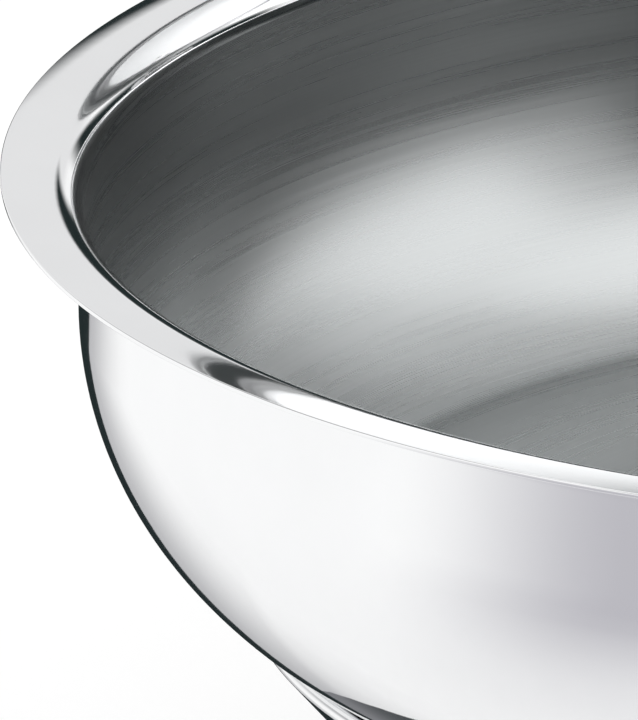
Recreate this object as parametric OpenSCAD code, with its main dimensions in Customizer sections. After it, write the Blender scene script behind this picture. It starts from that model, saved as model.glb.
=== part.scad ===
// Electric soup kettle for a buffet: a wide steel bowl with a flat rim, a polished heater
// cap under it, a plinth with the controls, and a lid on a back hinge that stands open.
// Millimetres, +Z up. The origin is on the table under the middle of the bowl. The front,
// with the knob, is -Y and the hinge is +Y.

/* [Bowl] */
// Outer diameter of the flat rim
rim_d = 440; // [400:1:480]
// Width of the flat top of the rim
rim_w = 8.4; // [6:0.1:11]
// Inner radius of the rounded throat between rim and wall
throat_r = 7.7; // [6:0.1:10]
// Sheet thickness of the bowl
bowl_t = 1; // [0.8:0.1:1.5]
// Depth from the rim to the underside of the floor
bowl_h = 85.5; // [80:0.5:110]
// Outer radius of the large corner between wall and floor
corner_r = 64.8; // [54:0.2:66]
// How far the flat floor cuts into the large corner
corner_cut = 6.3; // [4:0.1:9]
// Outer radius where the large corner runs into the flat floor
floor_fillet = 12; // [8:0.5:18]

/* [Heater cap] */
// Height of the polished cap under the bowl
cap_h = 14.5; // [14:0.1:18]
// Sheet thickness of the cap
cap_t = 0.8; // [0.6:0.1:1.2]
// How far the cap's upper edge stands out past the flat floor
cap_overhang = 6.9; // [4:0.1:9]
// How far the cap's side tapers in from its upper edge to its lower round
cap_taper = 13.2; // [10:0.1:16]
// Radius of the cap's lower round
cap_fillet = 5; // [4:0.1:6]
// Radius of the cap's upper edge
cap_edge = 1.4; // [1.3:0.1:2]
// Width of the cap's land under the flat floor
cap_land = 5; // [3:0.5:8]
// Radius of the wiring hole in the cap and the plinth
wiring_hole_r = 45; // [40:1:50]

/* [Heating] */
// Thickness of the heat spreader
spreader_t = 3; // [2:0.5:4]
// Radius of the heating element's ring
element_ring_r = 110; // [100:1:120]
// Radius of the heating element's tube
element_r = 3.5; // [3:0.1:3.8]
// How far the element's tube is pressed flat against the spreader
element_flat = 0.3; // [0.2:0.05:0.5]
// Angle that the element leaves open between its two ends
element_gap_a = 18; // [14:1:30]
// Thickness of the element's clamp plate
clamp_t = 0.8; // [0.5:0.1:1]
// Width of the clamp plate's flat on each side of the element
clamp_w = 14; // [12:1:20]
// Thickness of the insulating disc
insulation_t = 2.6; // [1.5:0.1:2.8]

/* [Plinth] */
// Gap between the element's bushings and the gasket round them
gasket_gap = 10.5; // [6:0.5:14]
// Height of the plinth with its gasket
plinth_h = 47; // [46:0.5:60]
// Sheet thickness of the plinth
plinth_t = 1.2; // [1:0.1:1.6]
// How far the front and back flats are cut in from the round
flat_cut = 10; // [9:0.5:14]
// Thickness of the gasket under the cap
gasket_t = 1.5; // [1:0.1:3]
// Width of the gasket
gasket_w = 11; // [8:0.5:14]
// Width of the lip that holds the bottom plate
lip_w = 12; // [10:0.5:16]
// Thickness of the bottom plate
plate_t = 1.2; // [1:0.1:2]
// Gap round the bottom plate
plate_gap = 0.4; // [0.2:0.1:0.8]

/* [Feet] */
// Height of the rubber feet
foot_h = 8; // [7:0.5:14]
// Radius of a foot at its top
foot_r = 13; // [11:0.5:15]
// Radius of the circle that the feet stand on
foot_ring_r = 116; // [100:1:118]

/* [Controls] */
// Radius of the knob's skirt
knob_r = 17; // [15:0.5:18]
// Length of the knob
knob_l = 16; // [14:0.5:22]
// Radius of the thermostat's spindle
spindle_r = 3; // [2.5:0.1:3.5]
// Running clearance of a shaft in its bore
running_gap = 0.05; // [0.03:0.01:0.08]
// Distance from the knob's axis to the lamp and to the switch
control_pitch = 37; // [33:0.5:38]
// Tilt of the rocker on each side of its middle
rocker_a = 8; // [5:0.5:10]

/* [Hinge] */
// Distance of the hinge axis from the rim's edge
hinge_out = 12; // [11:0.5:16]
// Height of the hinge axis above the rim
hinge_up = 9; // [8.5:0.5:12]
// Radius of the hinge pin
pin_r = 3; // [2.5:0.1:3.5]
// Inside width between the two ears of the hinge bracket
ear_gap = 54; // [50:1:60]
// Thickness of the bracket's ears
ear_t = 3; // [2:0.5:4]
// Width of the arm on the lid
arm_w = 36; // [30:1:42]
// Angle that the lid stands open from closed
lid_open_a = 100; // [95:1:105]

/* [Lid] */
// Sheet thickness of the lid
lid_t = 0.8; // [0.6:0.1:1.2]
// Radius of the lid's rolled bead
bead_r = 2.2; // [1.8:0.1:2.6]
// How far the middle of the bead stands in from the rim's edge
bead_inset = 4; // [3:0.1:5]
// Gap between the closed lid's bead and the rim
lid_gap = 0.3; // [0.2:0.05:0.6]
// Gap between the lid's plug and the bowl's wall
plug_gap = 1.1; // [0.8:0.1:2]
// How far the lid's plug reaches below the rim, to the middle of its round
plug_drop = 3; // [2:0.5:5]
// Rise of the dome above its shoulder
dome_rise = 46; // [40:0.5:60]
// Radius of the ladle notch
notch_r = 14; // [11:0.5:17]

/* [Lid handle] */
// Distance of the handle from the middle of the lid
handle_y = 130; // [100:1:140]
// Distance between the handle's posts
post_pitch = 90; // [80:1:110]
// Radius of the handle's bar
bar_r = 6; // [5:0.5:8]
// Height of the bar's middle above the dome
bar_h = 24; // [22:0.5:32]
// Radius of the posts
post_r = 5; // [4:0.5:6]

/* [Hidden] */
$fn = 96;

// Overlap of a cutting tool past the face that it cuts
cut = 1;

// Bowl
rim_r = rim_d / 2;
throat_cr = rim_r - rim_w;
wall_in_r = throat_cr - throat_r;
wall_r = wall_in_r + bowl_t;
cap_z = foot_h + plinth_h;
floor_z = cap_z + cap_h;
rim_z = floor_z + bowl_h;
corner_cr = wall_r - corner_r;
corner_cz = floor_z - corner_cut + corner_r;
fillet_cz = floor_z + floor_fillet;
fillet_drop = corner_cz - fillet_cz;
fillet_cr = corner_cr + sqrt(pow(corner_r - floor_fillet, 2) - pow(fillet_drop, 2));
fillet_a = -atan2(fillet_drop, fillet_cr - corner_cr);

// Heater cap
cap_r = fillet_cr + cap_overhang;
cap_land_r = fillet_cr - cap_land;
cap_top_c = [cap_r - cap_edge, floor_z - cap_edge];
cap_low_c = [cap_r - cap_taper, cap_z + cap_fillet];
cap_run = cap_low_c - cap_top_c;
cap_side_a = atan2(cap_run[1], cap_run[0]) + acos((cap_edge - cap_fillet) / norm(cap_run));

// Heating
spreader_gap = 1;
spreader_r = cap_land_r - spreader_gap;
spreader_z = floor_z - spreader_t;
element_z = spreader_z - element_r + element_flat;
clamp_gap = 0.1;
clamp_channel_r = element_r + clamp_gap;
clamp_z = spreader_z - clamp_t;
rivet_r = 1.5;
rivet_head_r = 3;
rivet_head_h = 1;
rivet_sink = 2;
clamp_rivet_n = 6;
clamp_rivet_in_r = element_ring_r - clamp_channel_r - clamp_w / 2;
clamp_rivet_out_r = element_ring_r + clamp_channel_r + clamp_w / 2;
cold_end_a = 180;
cold_end_len = 14;
cold_end_z = cap_z - cold_end_len;
cold_pin_r = 1.5;
cold_pin_len = 6;
element_ends = [cold_end_a - element_gap_a / 2, cold_end_a + element_gap_a / 2];
bushing_r = 6.5;
bushing_neck_r = 5;
bushing_flange_t = 1.6;
bushing_nut_t = 2;
insulation_edge_gap = 3;
insulation_z = cap_z + cap_t;
insulation_r = cap_low_c[0] - insulation_edge_gap;
insulation_hole_r = wiring_hole_r + insulation_edge_gap;
bushing_clear = 0.5;

// Parts under the spreader in the wiring hole
cutout_y = 22;
cutout_r = 8;
cutout_h = 9;
cutout_ear_t = 1;
cutout_ear_x = 12;
cutout_tab_x = 4;
cutout_tab_len = 6;
bulb_y = -18;
bulb_r = 2.5;
bulb_len = 56;
clip_t = 0.8;
clip_w = 12;
clip_ear = 7;
clip_screw_y = bulb_r + clip_t + clip_ear / 2;
capillary_r = 0.8;
screw_r = 1.5;
screw_head_r = 2.8;
screw_head_h = 1.6;

// Plinth
gasket_edge = 2;
gasket_r = element_ring_r + bushing_r + gasket_gap + gasket_w;
flat_y = gasket_r + gasket_edge;
plinth_r = flat_y + flat_cut;
plinth_top = cap_z - gasket_t;
plinth_ceiling = plinth_top - plinth_t;
lip_z = foot_h + plate_t;
panel_z = foot_h + plinth_h / 2 - gasket_t / 2;
stud_ring_r = 78;
stud_r = 2.5;
stud_len = 9;
stud_a = [45, 135, 225, 315];
nut_t = 3;
nut_r = 4.6;
hole_gap = 0.2;
plate_screw_r = plinth_r - plinth_t - lip_w / 2;
plate_screw_a = [0, 52, 128, 180, 232, 308];
vent_w = 3;
vent_step_a = 7;
vent_n = 7;
vent_end = 10;
plate_vent_n = 5;
plate_vent_pitch = 13;
plate_vent_len = 56;
plate_vent_w = 4;

// Feet
foot_tip_r = foot_r - 1.5;
foot_recess_r = 5.5;
foot_floor = 4;
foot_screw_r = 2;
foot_screw_head_r = 4;
foot_screw_head_h = 2;
foot_screw_len = foot_h - foot_floor + plate_t + nut_t + 1;
foot_a = [45, 135, 225, 315];

// Controls, measured from the panel's outer face
dial_t = 1;
dial_r = 20.5;
bush_r = 5;
bush_nut_t = 2.5;
bush_nut_r = 8;
bush_len = dial_t + bush_nut_t + 1;
thermostat_w = 36;
thermostat_h = 30;
thermostat_depth = 27;
knob_gap = 0.5;
knob_z = dial_t + knob_gap;
knob_skirt_h = 4;
knob_grip_r = 14;
knob_tip_r = 12.5;
knob_recess_r = bush_nut_r + 1.5;
knob_recess_h = bush_len - dial_t + 0.5;
knob_bore_len = knob_l - 3;
flute_n = 12;
flute_r = 2;
spindle_flat = spindle_r - 1;
spindle_in = 10;
tab_w = 6.3;
tab_t = 0.8;
tab_len = 7;
thermostat_tab_x = 9;
bezel_r = 7;
bezel_h = 2;
bezel_barrel_r = 5.6;
bezel_barrel_len = 12;
bezel_bore_r = 4.7;
lens_h = 2.6;
lens_rise = 1.6;
lamp_len = 18;
lamp_tab_x = 2.2;
lamp_tab_w = 2.8;
switch_w = 12;
switch_h = 19;
switch_depth = 20;
switch_flange = 1.5;
switch_flange_t = 1.6;
switch_wall = 1.15;
switch_well = 12;
switch_tab_pitch = 4;
rocker_gap = 0.3;
rocker_pivot_z = -4;
rocker_pin_r = 1.2;
rocker_half = 7;
rocker_crown = 6.2;
rocker_dip = 1.4;

// Power inlet, measured from the back panel's outer face
inlet_w = 27;
inlet_h = 20;
inlet_depth = 24;
inlet_flange_t = 2.5;
inlet_flange_r = 12;
inlet_flange_pitch = 13;
inlet_screw_x = 20;
inlet_wall = 2;
inlet_socket = 15;
blade_t = 2;
blade_w = 4;
blade_pitch = 7;
blade_y = 1.5;
earth_blade_y = 5;
blade_tip = 1;
inlet_tab = 7;

// Hinge
hinge_y = rim_r + hinge_out;
hinge_z = rim_z + hinge_up;
ear_r = 8;
pad_t = 2.5;
pad_low = corner_cz;
pad_high = rim_z - throat_r - 1;
pad_a = 9.5;
ear_top = rim_z - bowl_t - 3;
ear_clear = 2.5;
ear_front = rim_r + ear_clear;
web_t = 2.5;
web_low = ear_top - 8;
web_high = rim_z - bowl_t;
bracket_rivet_r = 1.6;
bracket_rivet_head_r = 3.6;
bracket_rivet_head_h = 1.2;
bracket_rivet_a = 4.2;
head_sag = 0.15;
bracket_rivet_rows = [pad_low + 4, pad_high - 4];
barrel_r = 5.5;
washer_t = 0.7;
side_play = 0.15;
barrel_half = ear_gap / 2 - washer_t - 2 * side_play;
arm_t = 3;
tail_len = 12;
tail_t = 4;
tail_a = lid_open_a - 90;
stop_gap = 0.3;
stop_r = 4;
stop_stem_r = 2;
pin_head_r = 5;
pin_head_t = 1.5;
pin_end = 3;
clip_ring_r = 5;
clip_ring_t = 0.8;
groove_r = pin_r - 0.6;

// Lid, with heights measured from the rim
bead_cr = rim_r - bead_inset;
flange_z = lid_gap + bead_r;
plug_r = wall_in_r - plug_gap - lid_t / 2;
lid_turn_r = 3;
channel_r = 2;
shoulder_round = 8;
shoulder_z = 2;
shoulder_cr = plug_r - 2 * channel_r - shoulder_round;
dome_slope = 2 * atan(dome_rise / shoulder_cr);
dome_r = shoulder_round + shoulder_cr / sin(dome_slope);
dome_cz = shoulder_z - (dome_r - shoulder_round) * cos(dome_slope);
dome_out_r = dome_r + lid_t / 2;
envelope_low = -20;
arm_front = 160;
arm_knee = plug_r - 3.4;
arm_rivet_r = 1.6;
arm_rivet_head_r = 3.6;
arm_rivet_head_h = 1.4;
arm_rivet_spots = [[-10, arm_front + 24], [10, arm_front + 24], [0, arm_front + 11]];
notch_z = -2;
notch_depth = plug_r - 16;

// Lid handle
handle_a = asin(handle_y / dome_r);
bar_half = post_pitch / 2 + 13;
post_root = 6;
handle_screw_r = 2.5;
handle_screw_in = 10;
handle_screw_head_r = 4.6;
handle_screw_head_h = 2.2;
post_sag = post_pitch * post_pitch / 8 / dome_r;

// Leads
lead_r = 1.3;
lead_z = 30;
lead_sides = 8;
lead_start = 7;
lead_x = 80;
lead_front = 50;
lead_back = 45;

// A point at radius r and angle a round c
function polar(c, r, a) = [c[0] + r * cos(a), c[1] + r * sin(a)];

// Points along an arc round c from angle a0 to a1, without the first point when skip is 1
function arc(c, r, a0, a1, n, skip = 0) =
    [for (i = [skip:n]) polar(c, r, a0 + (a1 - a0) * i / n)];

// The same points in the other order
function reversed(points) = [for (i = [len(points) - 1:-1:0]) points[i]];

// Unit vector of v
function unit(v) = v / norm(v);

// Direction of a route's leg i, and the normal of its mitre at point i
function leg(points, i) = unit(points[i + 1] - points[i]);
function mitre(points, i) =
    i == len(points) - 1 ? leg(points, i - 1) : unit(leg(points, i - 1) + leg(points, i));

// The ring that a sweep along the points starts from
function first_ring(points, r) =
    let(
        d = leg(points, 0),
        u = unit(cross(d, abs(d[2]) > 0.9 ? [1, 0, 0] : [0, 0, 1])),
        v = cross(d, u)
    )
    [for (k = [0:lead_sides - 1])
        points[0] + r * (cos(k * 360 / lead_sides) * u + sin(k * 360 / lead_sides) * v)];

// A ring slid along d until it lies in the plane through p with normal n
function slid(one, d, p, n) = [for (q = one) q + d * (((p - q) * n) / (d * n))];

// All rings of a sweep from point i on
function swept(points, one, i) =
    i == len(points) - 1 ? [one] : concat(
        [one],
        swept(points, slid(one, leg(points, i), points[i + 1], mitre(points, i + 1)), i + 1)
    );

// One face of the bowl's sheet, inset from its outer face
function bowl_face(inset) = concat(
    [[0, floor_z + inset]],
    arc([fillet_cr, fillet_cz], floor_fillet - inset, -90, fillet_a, 6),
    arc([corner_cr, corner_cz], corner_r - inset, fillet_a, 0, 20, 1),
    arc([throat_cr, rim_z - throat_r], throat_r - bowl_t + inset, 180, 90, 8),
    [[rim_r, rim_z - bowl_t + inset]]
);

// One face of the cap's sheet, inset from its outer face
function cap_face(inset) = concat(
    [[cap_land_r, floor_z - inset]],
    arc(cap_top_c, cap_edge - inset, 90, cap_side_a, 4),
    arc(cap_low_c, cap_fillet - inset, cap_side_a, -90, 5),
    [[wiring_hole_r, cap_z + inset]]
);

// One face of the lid's sheet, on the side 1 for its top and -1 for its underside
function lid_face(side) = concat(
    [[bead_cr, flange_z + side * lid_t / 2]],
    arc([plug_r + lid_turn_r, flange_z - lid_turn_r], lid_turn_r + side * lid_t / 2, 90, 180, 5),
    arc([plug_r - channel_r, -plug_drop], channel_r - side * lid_t / 2, 0, -180, 8),
    arc([shoulder_cr, shoulder_z], shoulder_round + side * lid_t / 2, 0, 90 - dome_slope, 5),
    arc([0, dome_cz], dome_r + side * lid_t / 2, 90 - dome_slope, 90, 12, 1)
);

// Children laid out in a ring at the given angles
module ring(angles, r) {
    for (a = angles)
        rotate([0, 0, a])
            translate([r, 0, 0])
                children();
}

// Front panel frame: z points out of the panel to the front, y is up
module front_panel(x) {
    translate([x, -flat_y, panel_z])
        rotate([90, 0, 0])
            children();
}

// Back panel frame: z points out of the panel to the back, y is up
module back_panel() {
    translate([0, flat_y, panel_z])
        rotate([90, 0, 180])
            children();
}

// A profile drawn in Y and Z, made w wide along X about the middle
module across(w) {
    rotate([90, 0, 90])
        translate([0, 0, -w / 2])
            linear_extrude(w)
                children();
}

// A cylinder along X between x0 and x1
module shaft(x0, x1, r) {
    translate([x0, 0, 0])
        rotate([0, 90, 0])
            cylinder(h = x1 - x0, r = r);
}

// A ring-shaped plate
module washer(outer, inner, t) {
    difference() {
        cylinder(h = t, r = outer);
        translate([0, 0, -cut])
            cylinder(h = t + 2 * cut, r = inner);
    }
}

// A hexagon nut with a round bore
module hex_nut(across_r, bore, t) {
    difference() {
        cylinder(h = t, r = across_r, $fn = 6);
        translate([0, 0, -cut])
            cylinder(h = t + 2 * cut, r = bore);
    }
}

// A flat slot with round ends, length l and width w
module slot(l, w) {
    square([l - w, w], center = true);
    for (x = [-1, 1])
        translate([x * (l - w) / 2, 0])
            circle(r = w / 2);
}

// A lead through a row of points, mitred at each bend
module lead(points, r) {
    rings = swept(points, first_ring(points, r), 0);
    n = lead_sides;
    last = len(points) - 1;
    polyhedron(
        points = [for (one = rings) for (p = one) p],
        faces = concat(
            [[for (k = [0:n - 1]) k]],
            [for (i = [0:last - 1]) for (k = [0:n - 1])
                [i * n + k, (i + 1) * n + k, (i + 1) * n + (k + 1) % n, i * n + (k + 1) % n]],
            [[for (k = [n - 1:-1:0]) last * n + k]]
        )
    );
}

module kettle_bowl() {
    color("silver")
        difference() {
            rotate_extrude()
                polygon(concat(bowl_face(0), reversed(bowl_face(bowl_t))));
            bracket_rivet_shanks(bracket_rivet_r + running_gap);
        }
}

module base_cap() {
    color("gainsboro")
        difference() {
            rotate_extrude()
                polygon(concat(cap_face(0), reversed(cap_face(cap_t))));
            translate([0, 0, cap_z - cut])
                ring(element_ends, element_ring_r)
                    cylinder(h = cap_t + 2 * cut, r = bushing_neck_r + hole_gap);
        }
}

module spreader_plate() {
    color("lightgray")
        difference() {
            translate([0, 0, spreader_z])
                cylinder(h = spreader_t, r = spreader_r);
            clamp_rivet_shanks();
            spreader_screw_shanks();
        }
}

module heating_element() {
    color("dimgray") {
        intersection() {
            translate([0, 0, element_z])
                rotate([0, 0, cold_end_a + element_gap_a / 2])
                    rotate_extrude(angle = 360 - element_gap_a)
                        translate([element_ring_r, 0])
                            circle(r = element_r);
            cylinder(h = spreader_z, r = element_ring_r + 2 * element_r);
        }
        ring(element_ends, element_ring_r) {
            intersection() {
                translate([0, 0, element_z])
                    sphere(r = element_r);
                translate([-element_r, -element_r, element_z - element_r])
                    cube([2 * element_r, 2 * element_r, spreader_z - element_z + element_r]);
            }
            translate([0, 0, cold_end_z])
                cylinder(h = element_z - cold_end_z, r = element_r);
            translate([0, 0, cold_end_z - cold_pin_len])
                cylinder(h = cold_pin_len, r = cold_pin_r);
        }
    }
}

// Half section of the clamp plate, with a channel round the element's tube
module clamp_section() {
    intersection() {
        difference() {
            union() {
                translate([element_ring_r, element_z])
                    circle(r = clamp_channel_r + clamp_t);
                translate([element_ring_r - clamp_channel_r - clamp_w, clamp_z])
                    square([2 * (clamp_channel_r + clamp_w), clamp_t]);
            }
            translate([element_ring_r, element_z])
                circle(r = clamp_channel_r);
            translate([element_ring_r - clamp_channel_r, element_z])
                square([2 * clamp_channel_r, element_r + cut]);
        }
        translate([0, element_z - 2 * element_r])
            square([2 * element_ring_r, spreader_z - element_z + 2 * element_r]);
    }
}

module element_clamp() {
    color("lightsteelblue")
        difference() {
            rotate([0, 0, cold_end_a + element_gap_a])
                rotate_extrude(angle = 360 - 2 * element_gap_a)
                    clamp_section();
            clamp_rivet_shanks();
        }
}

// Rivets at even steps on both sides of the element, clear of its ends
module clamp_rivet_ring() {
    step = 360 / clamp_rivet_n;
    angles = [for (i = [0:clamp_rivet_n - 1]) cold_end_a + step / 2 + i * step];
    ring(angles, clamp_rivet_in_r)
        children();
    ring(angles, clamp_rivet_out_r)
        children();
}

module clamp_rivet_shanks() {
    translate([0, 0, clamp_z - cut])
        clamp_rivet_ring()
            cylinder(h = clamp_t + cut + rivet_sink, r = rivet_r);
}

module clamp_rivets() {
    color("silver")
        translate([0, 0, clamp_z])
            clamp_rivet_ring() {
                translate([0, 0, -rivet_head_h])
                    cylinder(h = rivet_head_h, r = rivet_head_r);
                cylinder(h = clamp_t + rivet_sink, r = rivet_r);
            }
}

module element_bushings() {
    color("goldenrod")
        ring(element_ends, element_ring_r)
            difference() {
                union() {
                    translate([0, 0, cap_z + cap_t])
                        cylinder(h = bushing_flange_t, r = bushing_r);
                    translate([0, 0, cap_z - bushing_nut_t])
                        cylinder(h = bushing_nut_t + cap_t, r = bushing_neck_r);
                    translate([0, 0, cap_z - gasket_t - plinth_t - bushing_nut_t])
                        cylinder(h = gasket_t + plinth_t + bushing_nut_t, r = bushing_neck_r);
                    translate([0, 0, plinth_ceiling - bushing_nut_t])
                        cylinder(h = bushing_nut_t, r = bushing_r, $fn = 6);
                }
                translate([0, 0, cold_end_z])
                    cylinder(h = cap_h + cold_end_len, r = element_r + running_gap);
            }
}

module insulation_disc() {
    color("ivory")
        translate([0, 0, insulation_z])
            difference() {
                washer(insulation_r, insulation_hole_r, insulation_t);
                translate([0, 0, -cut])
                    ring(element_ends, element_ring_r)
                        cylinder(h = insulation_t + 2 * cut, r = bushing_r + bushing_clear);
            }
}

module thermal_cutout() {
    color("darkslategray")
        translate([0, cutout_y, spreader_z]) {
            translate([0, 0, -cutout_h])
                cylinder(h = cutout_h, r = cutout_r);
            difference() {
                translate([0, 0, -cutout_ear_t])
                    linear_extrude(cutout_ear_t)
                        slot(2 * cutout_ear_x + 8, 8);
                for (x = [-1, 1])
                    translate([x * cutout_ear_x, 0, -cutout_ear_t - cut])
                        cylinder(h = cutout_ear_t + 2 * cut, r = screw_r + running_gap);
            }
            for (x = [-1, 1])
                translate([x * cutout_tab_x - tab_t / 2, -tab_w / 2, -cutout_h - cutout_tab_len])
                    cube([tab_t, tab_w, cutout_tab_len]);
        }
}

module sensor_bulb() {
    bulb_z = spreader_z - bulb_r;
    bend_x = bulb_len / 2 + 8;
    entry = [thermostat_w / 4, -flat_y + plinth_t + thermostat_depth, panel_z + thermostat_h / 3];
    color("peru") {
        translate([0, bulb_y, bulb_z])
            shaft(-bulb_len / 2, bulb_len / 2, bulb_r);
        lead([
            [bulb_len / 2 - cut, bulb_y, bulb_z],
            [bend_x, bulb_y, bulb_z],
            [bend_x, bulb_y, cap_z - 4],
            [bend_x / 2, entry[1] / 2, plinth_ceiling - 6],
            [entry[0], entry[1] + lead_start, entry[2]],
            entry
        ], capillary_r);
    }
}

module bulb_clip() {
    color("lightsteelblue")
        translate([0, bulb_y, 0])
            difference() {
                across(clip_w)
                    difference() {
                        union() {
                            translate([0, spreader_z - bulb_r])
                                circle(r = bulb_r + clip_t);
                            translate([-clip_screw_y - clip_ear / 2, spreader_z - clip_t])
                                square([2 * clip_screw_y + clip_ear, clip_t]);
                        }
                        translate([0, spreader_z - bulb_r])
                            circle(r = bulb_r + running_gap);
                        translate([-bulb_r - running_gap, spreader_z - bulb_r])
                            square([2 * (bulb_r + running_gap), bulb_r + cut]);
                        translate([-clip_screw_y, spreader_z])
                            square([2 * clip_screw_y, 2 * bulb_r]);
                    }
                for (y = [-1, 1])
                    translate([0, y * clip_screw_y, spreader_z - clip_t - cut])
                        cylinder(h = clip_t + 2 * cut, r = screw_r + running_gap);
            }
}

// Where screws go up into the spreader: x, y and the thickness that they hold
spreader_screw_spots = [
    [-cutout_ear_x, cutout_y, cutout_ear_t],
    [cutout_ear_x, cutout_y, cutout_ear_t],
    [0, bulb_y - clip_screw_y, clip_t],
    [0, bulb_y + clip_screw_y, clip_t]
];

module spreader_screw_shanks() {
    for (s = spreader_screw_spots)
        translate([s[0], s[1], spreader_z - s[2] - cut])
            cylinder(h = s[2] + cut + rivet_sink, r = screw_r);
}

module spreader_screws() {
    color("silver")
        for (s = spreader_screw_spots)
            translate([s[0], s[1], spreader_z - s[2]]) {
                translate([0, 0, -screw_head_h])
                    cylinder(h = screw_head_h, r = screw_head_r);
                cylinder(h = s[2] + rivet_sink, r = screw_r);
            }
}

module cap_studs() {
    color("silver")
        translate([0, 0, cap_z - stud_len])
            ring(stud_a, stud_ring_r)
                cylinder(h = stud_len, r = stud_r);
}

module stud_nuts() {
    color("silver")
        translate([0, 0, plinth_ceiling - nut_t])
            ring(stud_a, stud_ring_r)
                hex_nut(nut_r, stud_r + running_gap, nut_t);
}

module plinth_gasket() {
    color("dimgray")
        translate([0, 0, plinth_top])
            washer(gasket_r, gasket_r - gasket_w, gasket_t);
}

// Outline of the plinth: a round with a flat at the front and at the back
module plinth_outline(inset) {
    intersection() {
        circle(r = plinth_r - inset);
        square([2 * plinth_r, 2 * (flat_y - inset)], center = true);
    }
}

// A block with the plinth's outline between two heights
module plinth_block(z0, z1, inset) {
    translate([0, 0, z0])
        linear_extrude(z1 - z0)
            plinth_outline(inset);
}

module plinth_vents() {
    vent_l = plinth_top - foot_h - 2 * vent_end;
    middle = (vent_n - 1) / 2;
    for (side = [0, 180])
        for (i = [0:vent_n - 1])
            rotate([0, 0, side + (i - middle) * vent_step_a])
                translate([plinth_r - 2 * plinth_t - cut, 0, foot_h + vent_end + vent_l / 2])
                    rotate([90, 0, 90])
                        rotate([0, 0, 90])
                            linear_extrude(2 * plinth_t + 2 * cut)
                                slot(vent_l, vent_w);
}

module panel_holes() {
    deep = plinth_t + cut;
    front_panel(0)
        translate([0, 0, -deep])
            cylinder(h = deep + cut, r = bush_r + hole_gap);
    front_panel(-control_pitch)
        translate([0, 0, -deep])
            cylinder(h = deep + cut, r = bezel_barrel_r + hole_gap);
    front_panel(control_pitch)
        translate([-switch_w / 2 - hole_gap, -switch_h / 2 - hole_gap, -deep])
            cube([switch_w + 2 * hole_gap, switch_h + 2 * hole_gap, deep + cut]);
    back_panel() {
        translate([-inlet_w / 2 - hole_gap, -inlet_h / 2 - hole_gap, -deep])
            cube([inlet_w + 2 * hole_gap, inlet_h + 2 * hole_gap, deep + cut]);
        for (x = [-1, 1])
            translate([x * inlet_screw_x, 0, -deep])
                cylinder(h = deep + cut, r = screw_r + hole_gap);
    }
}

module plinth_shell() {
    color("silver")
        difference() {
            plinth_block(foot_h, plinth_top, 0);
            plinth_block(lip_z + plinth_t, plinth_ceiling, plinth_t);
            plinth_block(foot_h - cut, lip_z, plinth_t);
            plinth_block(foot_h, lip_z + plinth_t + cut, plinth_t + lip_w);
            translate([0, 0, plinth_ceiling - cut]) {
                cylinder(h = plinth_t + 2 * cut, r = wiring_hole_r + insulation_edge_gap);
                ring(stud_a, stud_ring_r)
                    cylinder(h = plinth_t + 2 * cut, r = stud_r + hole_gap);
                ring(element_ends, element_ring_r)
                    cylinder(h = plinth_t + 2 * cut, r = bushing_neck_r + hole_gap);
            }
            translate([0, 0, lip_z - cut])
                ring(plate_screw_a, plate_screw_r)
                    cylinder(h = plinth_t + 2 * cut, r = screw_r + running_gap);
            panel_holes();
            plinth_vents();
        }
}

module bottom_plate() {
    color("lightgray")
        difference() {
            plinth_block(foot_h, lip_z, plinth_t + plate_gap);
            translate([0, 0, foot_h - cut]) {
                ring(plate_screw_a, plate_screw_r)
                    cylinder(h = plate_t + 2 * cut, r = screw_r + hole_gap);
                ring(foot_a, foot_ring_r)
                    cylinder(h = plate_t + 2 * cut, r = foot_screw_r + hole_gap);
                for (side = [-1, 1])
                    for (i = [0:plate_vent_n - 1])
                        translate([side * plate_vent_len * 0.7, (i - 2) * plate_vent_pitch, 0])
                            linear_extrude(plate_t + 2 * cut)
                                slot(plate_vent_len, plate_vent_w);
                translate([0, earth_spot[1], 0])
                    cylinder(h = plate_t + 2 * cut, r = screw_r + running_gap);
            }
        }
}

module plate_screws() {
    color("silver")
        translate([0, 0, foot_h])
            ring(plate_screw_a, plate_screw_r) {
                translate([0, 0, -screw_head_h])
                    cylinder(h = screw_head_h, r = screw_head_r);
                cylinder(h = plate_t + plinth_t + 2, r = screw_r);
            }
}

module rubber_feet() {
    color([0.12, 0.12, 0.13])
        ring(foot_a, foot_ring_r)
            difference() {
                rotate_extrude()
                    polygon([
                        [0, 0],
                        [foot_tip_r - 1, 0],
                        [foot_tip_r, 1],
                        [foot_r, foot_h],
                        [0, foot_h]
                    ]);
                translate([0, 0, -cut])
                    cylinder(h = foot_floor + cut, r = foot_recess_r);
                cylinder(h = foot_h + cut, r = foot_screw_r + running_gap);
            }
}

module foot_screws() {
    color("silver")
        translate([0, 0, foot_floor])
            ring(foot_a, foot_ring_r) {
                translate([0, 0, -foot_screw_head_h])
                    cylinder(h = foot_screw_head_h, r = foot_screw_head_r);
                cylinder(h = foot_screw_len, r = foot_screw_r);
            }
}

module foot_nuts() {
    color("silver")
        translate([0, 0, lip_z])
            ring(foot_a, foot_ring_r)
                hex_nut(nut_r, foot_screw_r + running_gap, nut_t);
}

module thermostat_body() {
    color([0.85, 0.84, 0.8])
        front_panel(0)
            difference() {
                union() {
                    translate([-thermostat_w / 2, -thermostat_h / 2, -plinth_t - thermostat_depth])
                        cube([thermostat_w, thermostat_h, thermostat_depth]);
                    translate([0, 0, -plinth_t])
                        cylinder(h = plinth_t + bush_len, r = bush_r);
                    for (x = [-1, 1])
                        translate([
                            x * thermostat_tab_x - tab_w / 2,
                            -tab_t / 2,
                            -plinth_t - thermostat_depth - tab_len
                        ])
                            cube([tab_w, tab_t, tab_len]);
                }
                translate([0, 0, -plinth_t - spindle_in - cut])
                    cylinder(h = spindle_in + plinth_t + bush_len + 2 * cut, r = spindle_r + running_gap);
            }
}

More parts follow.
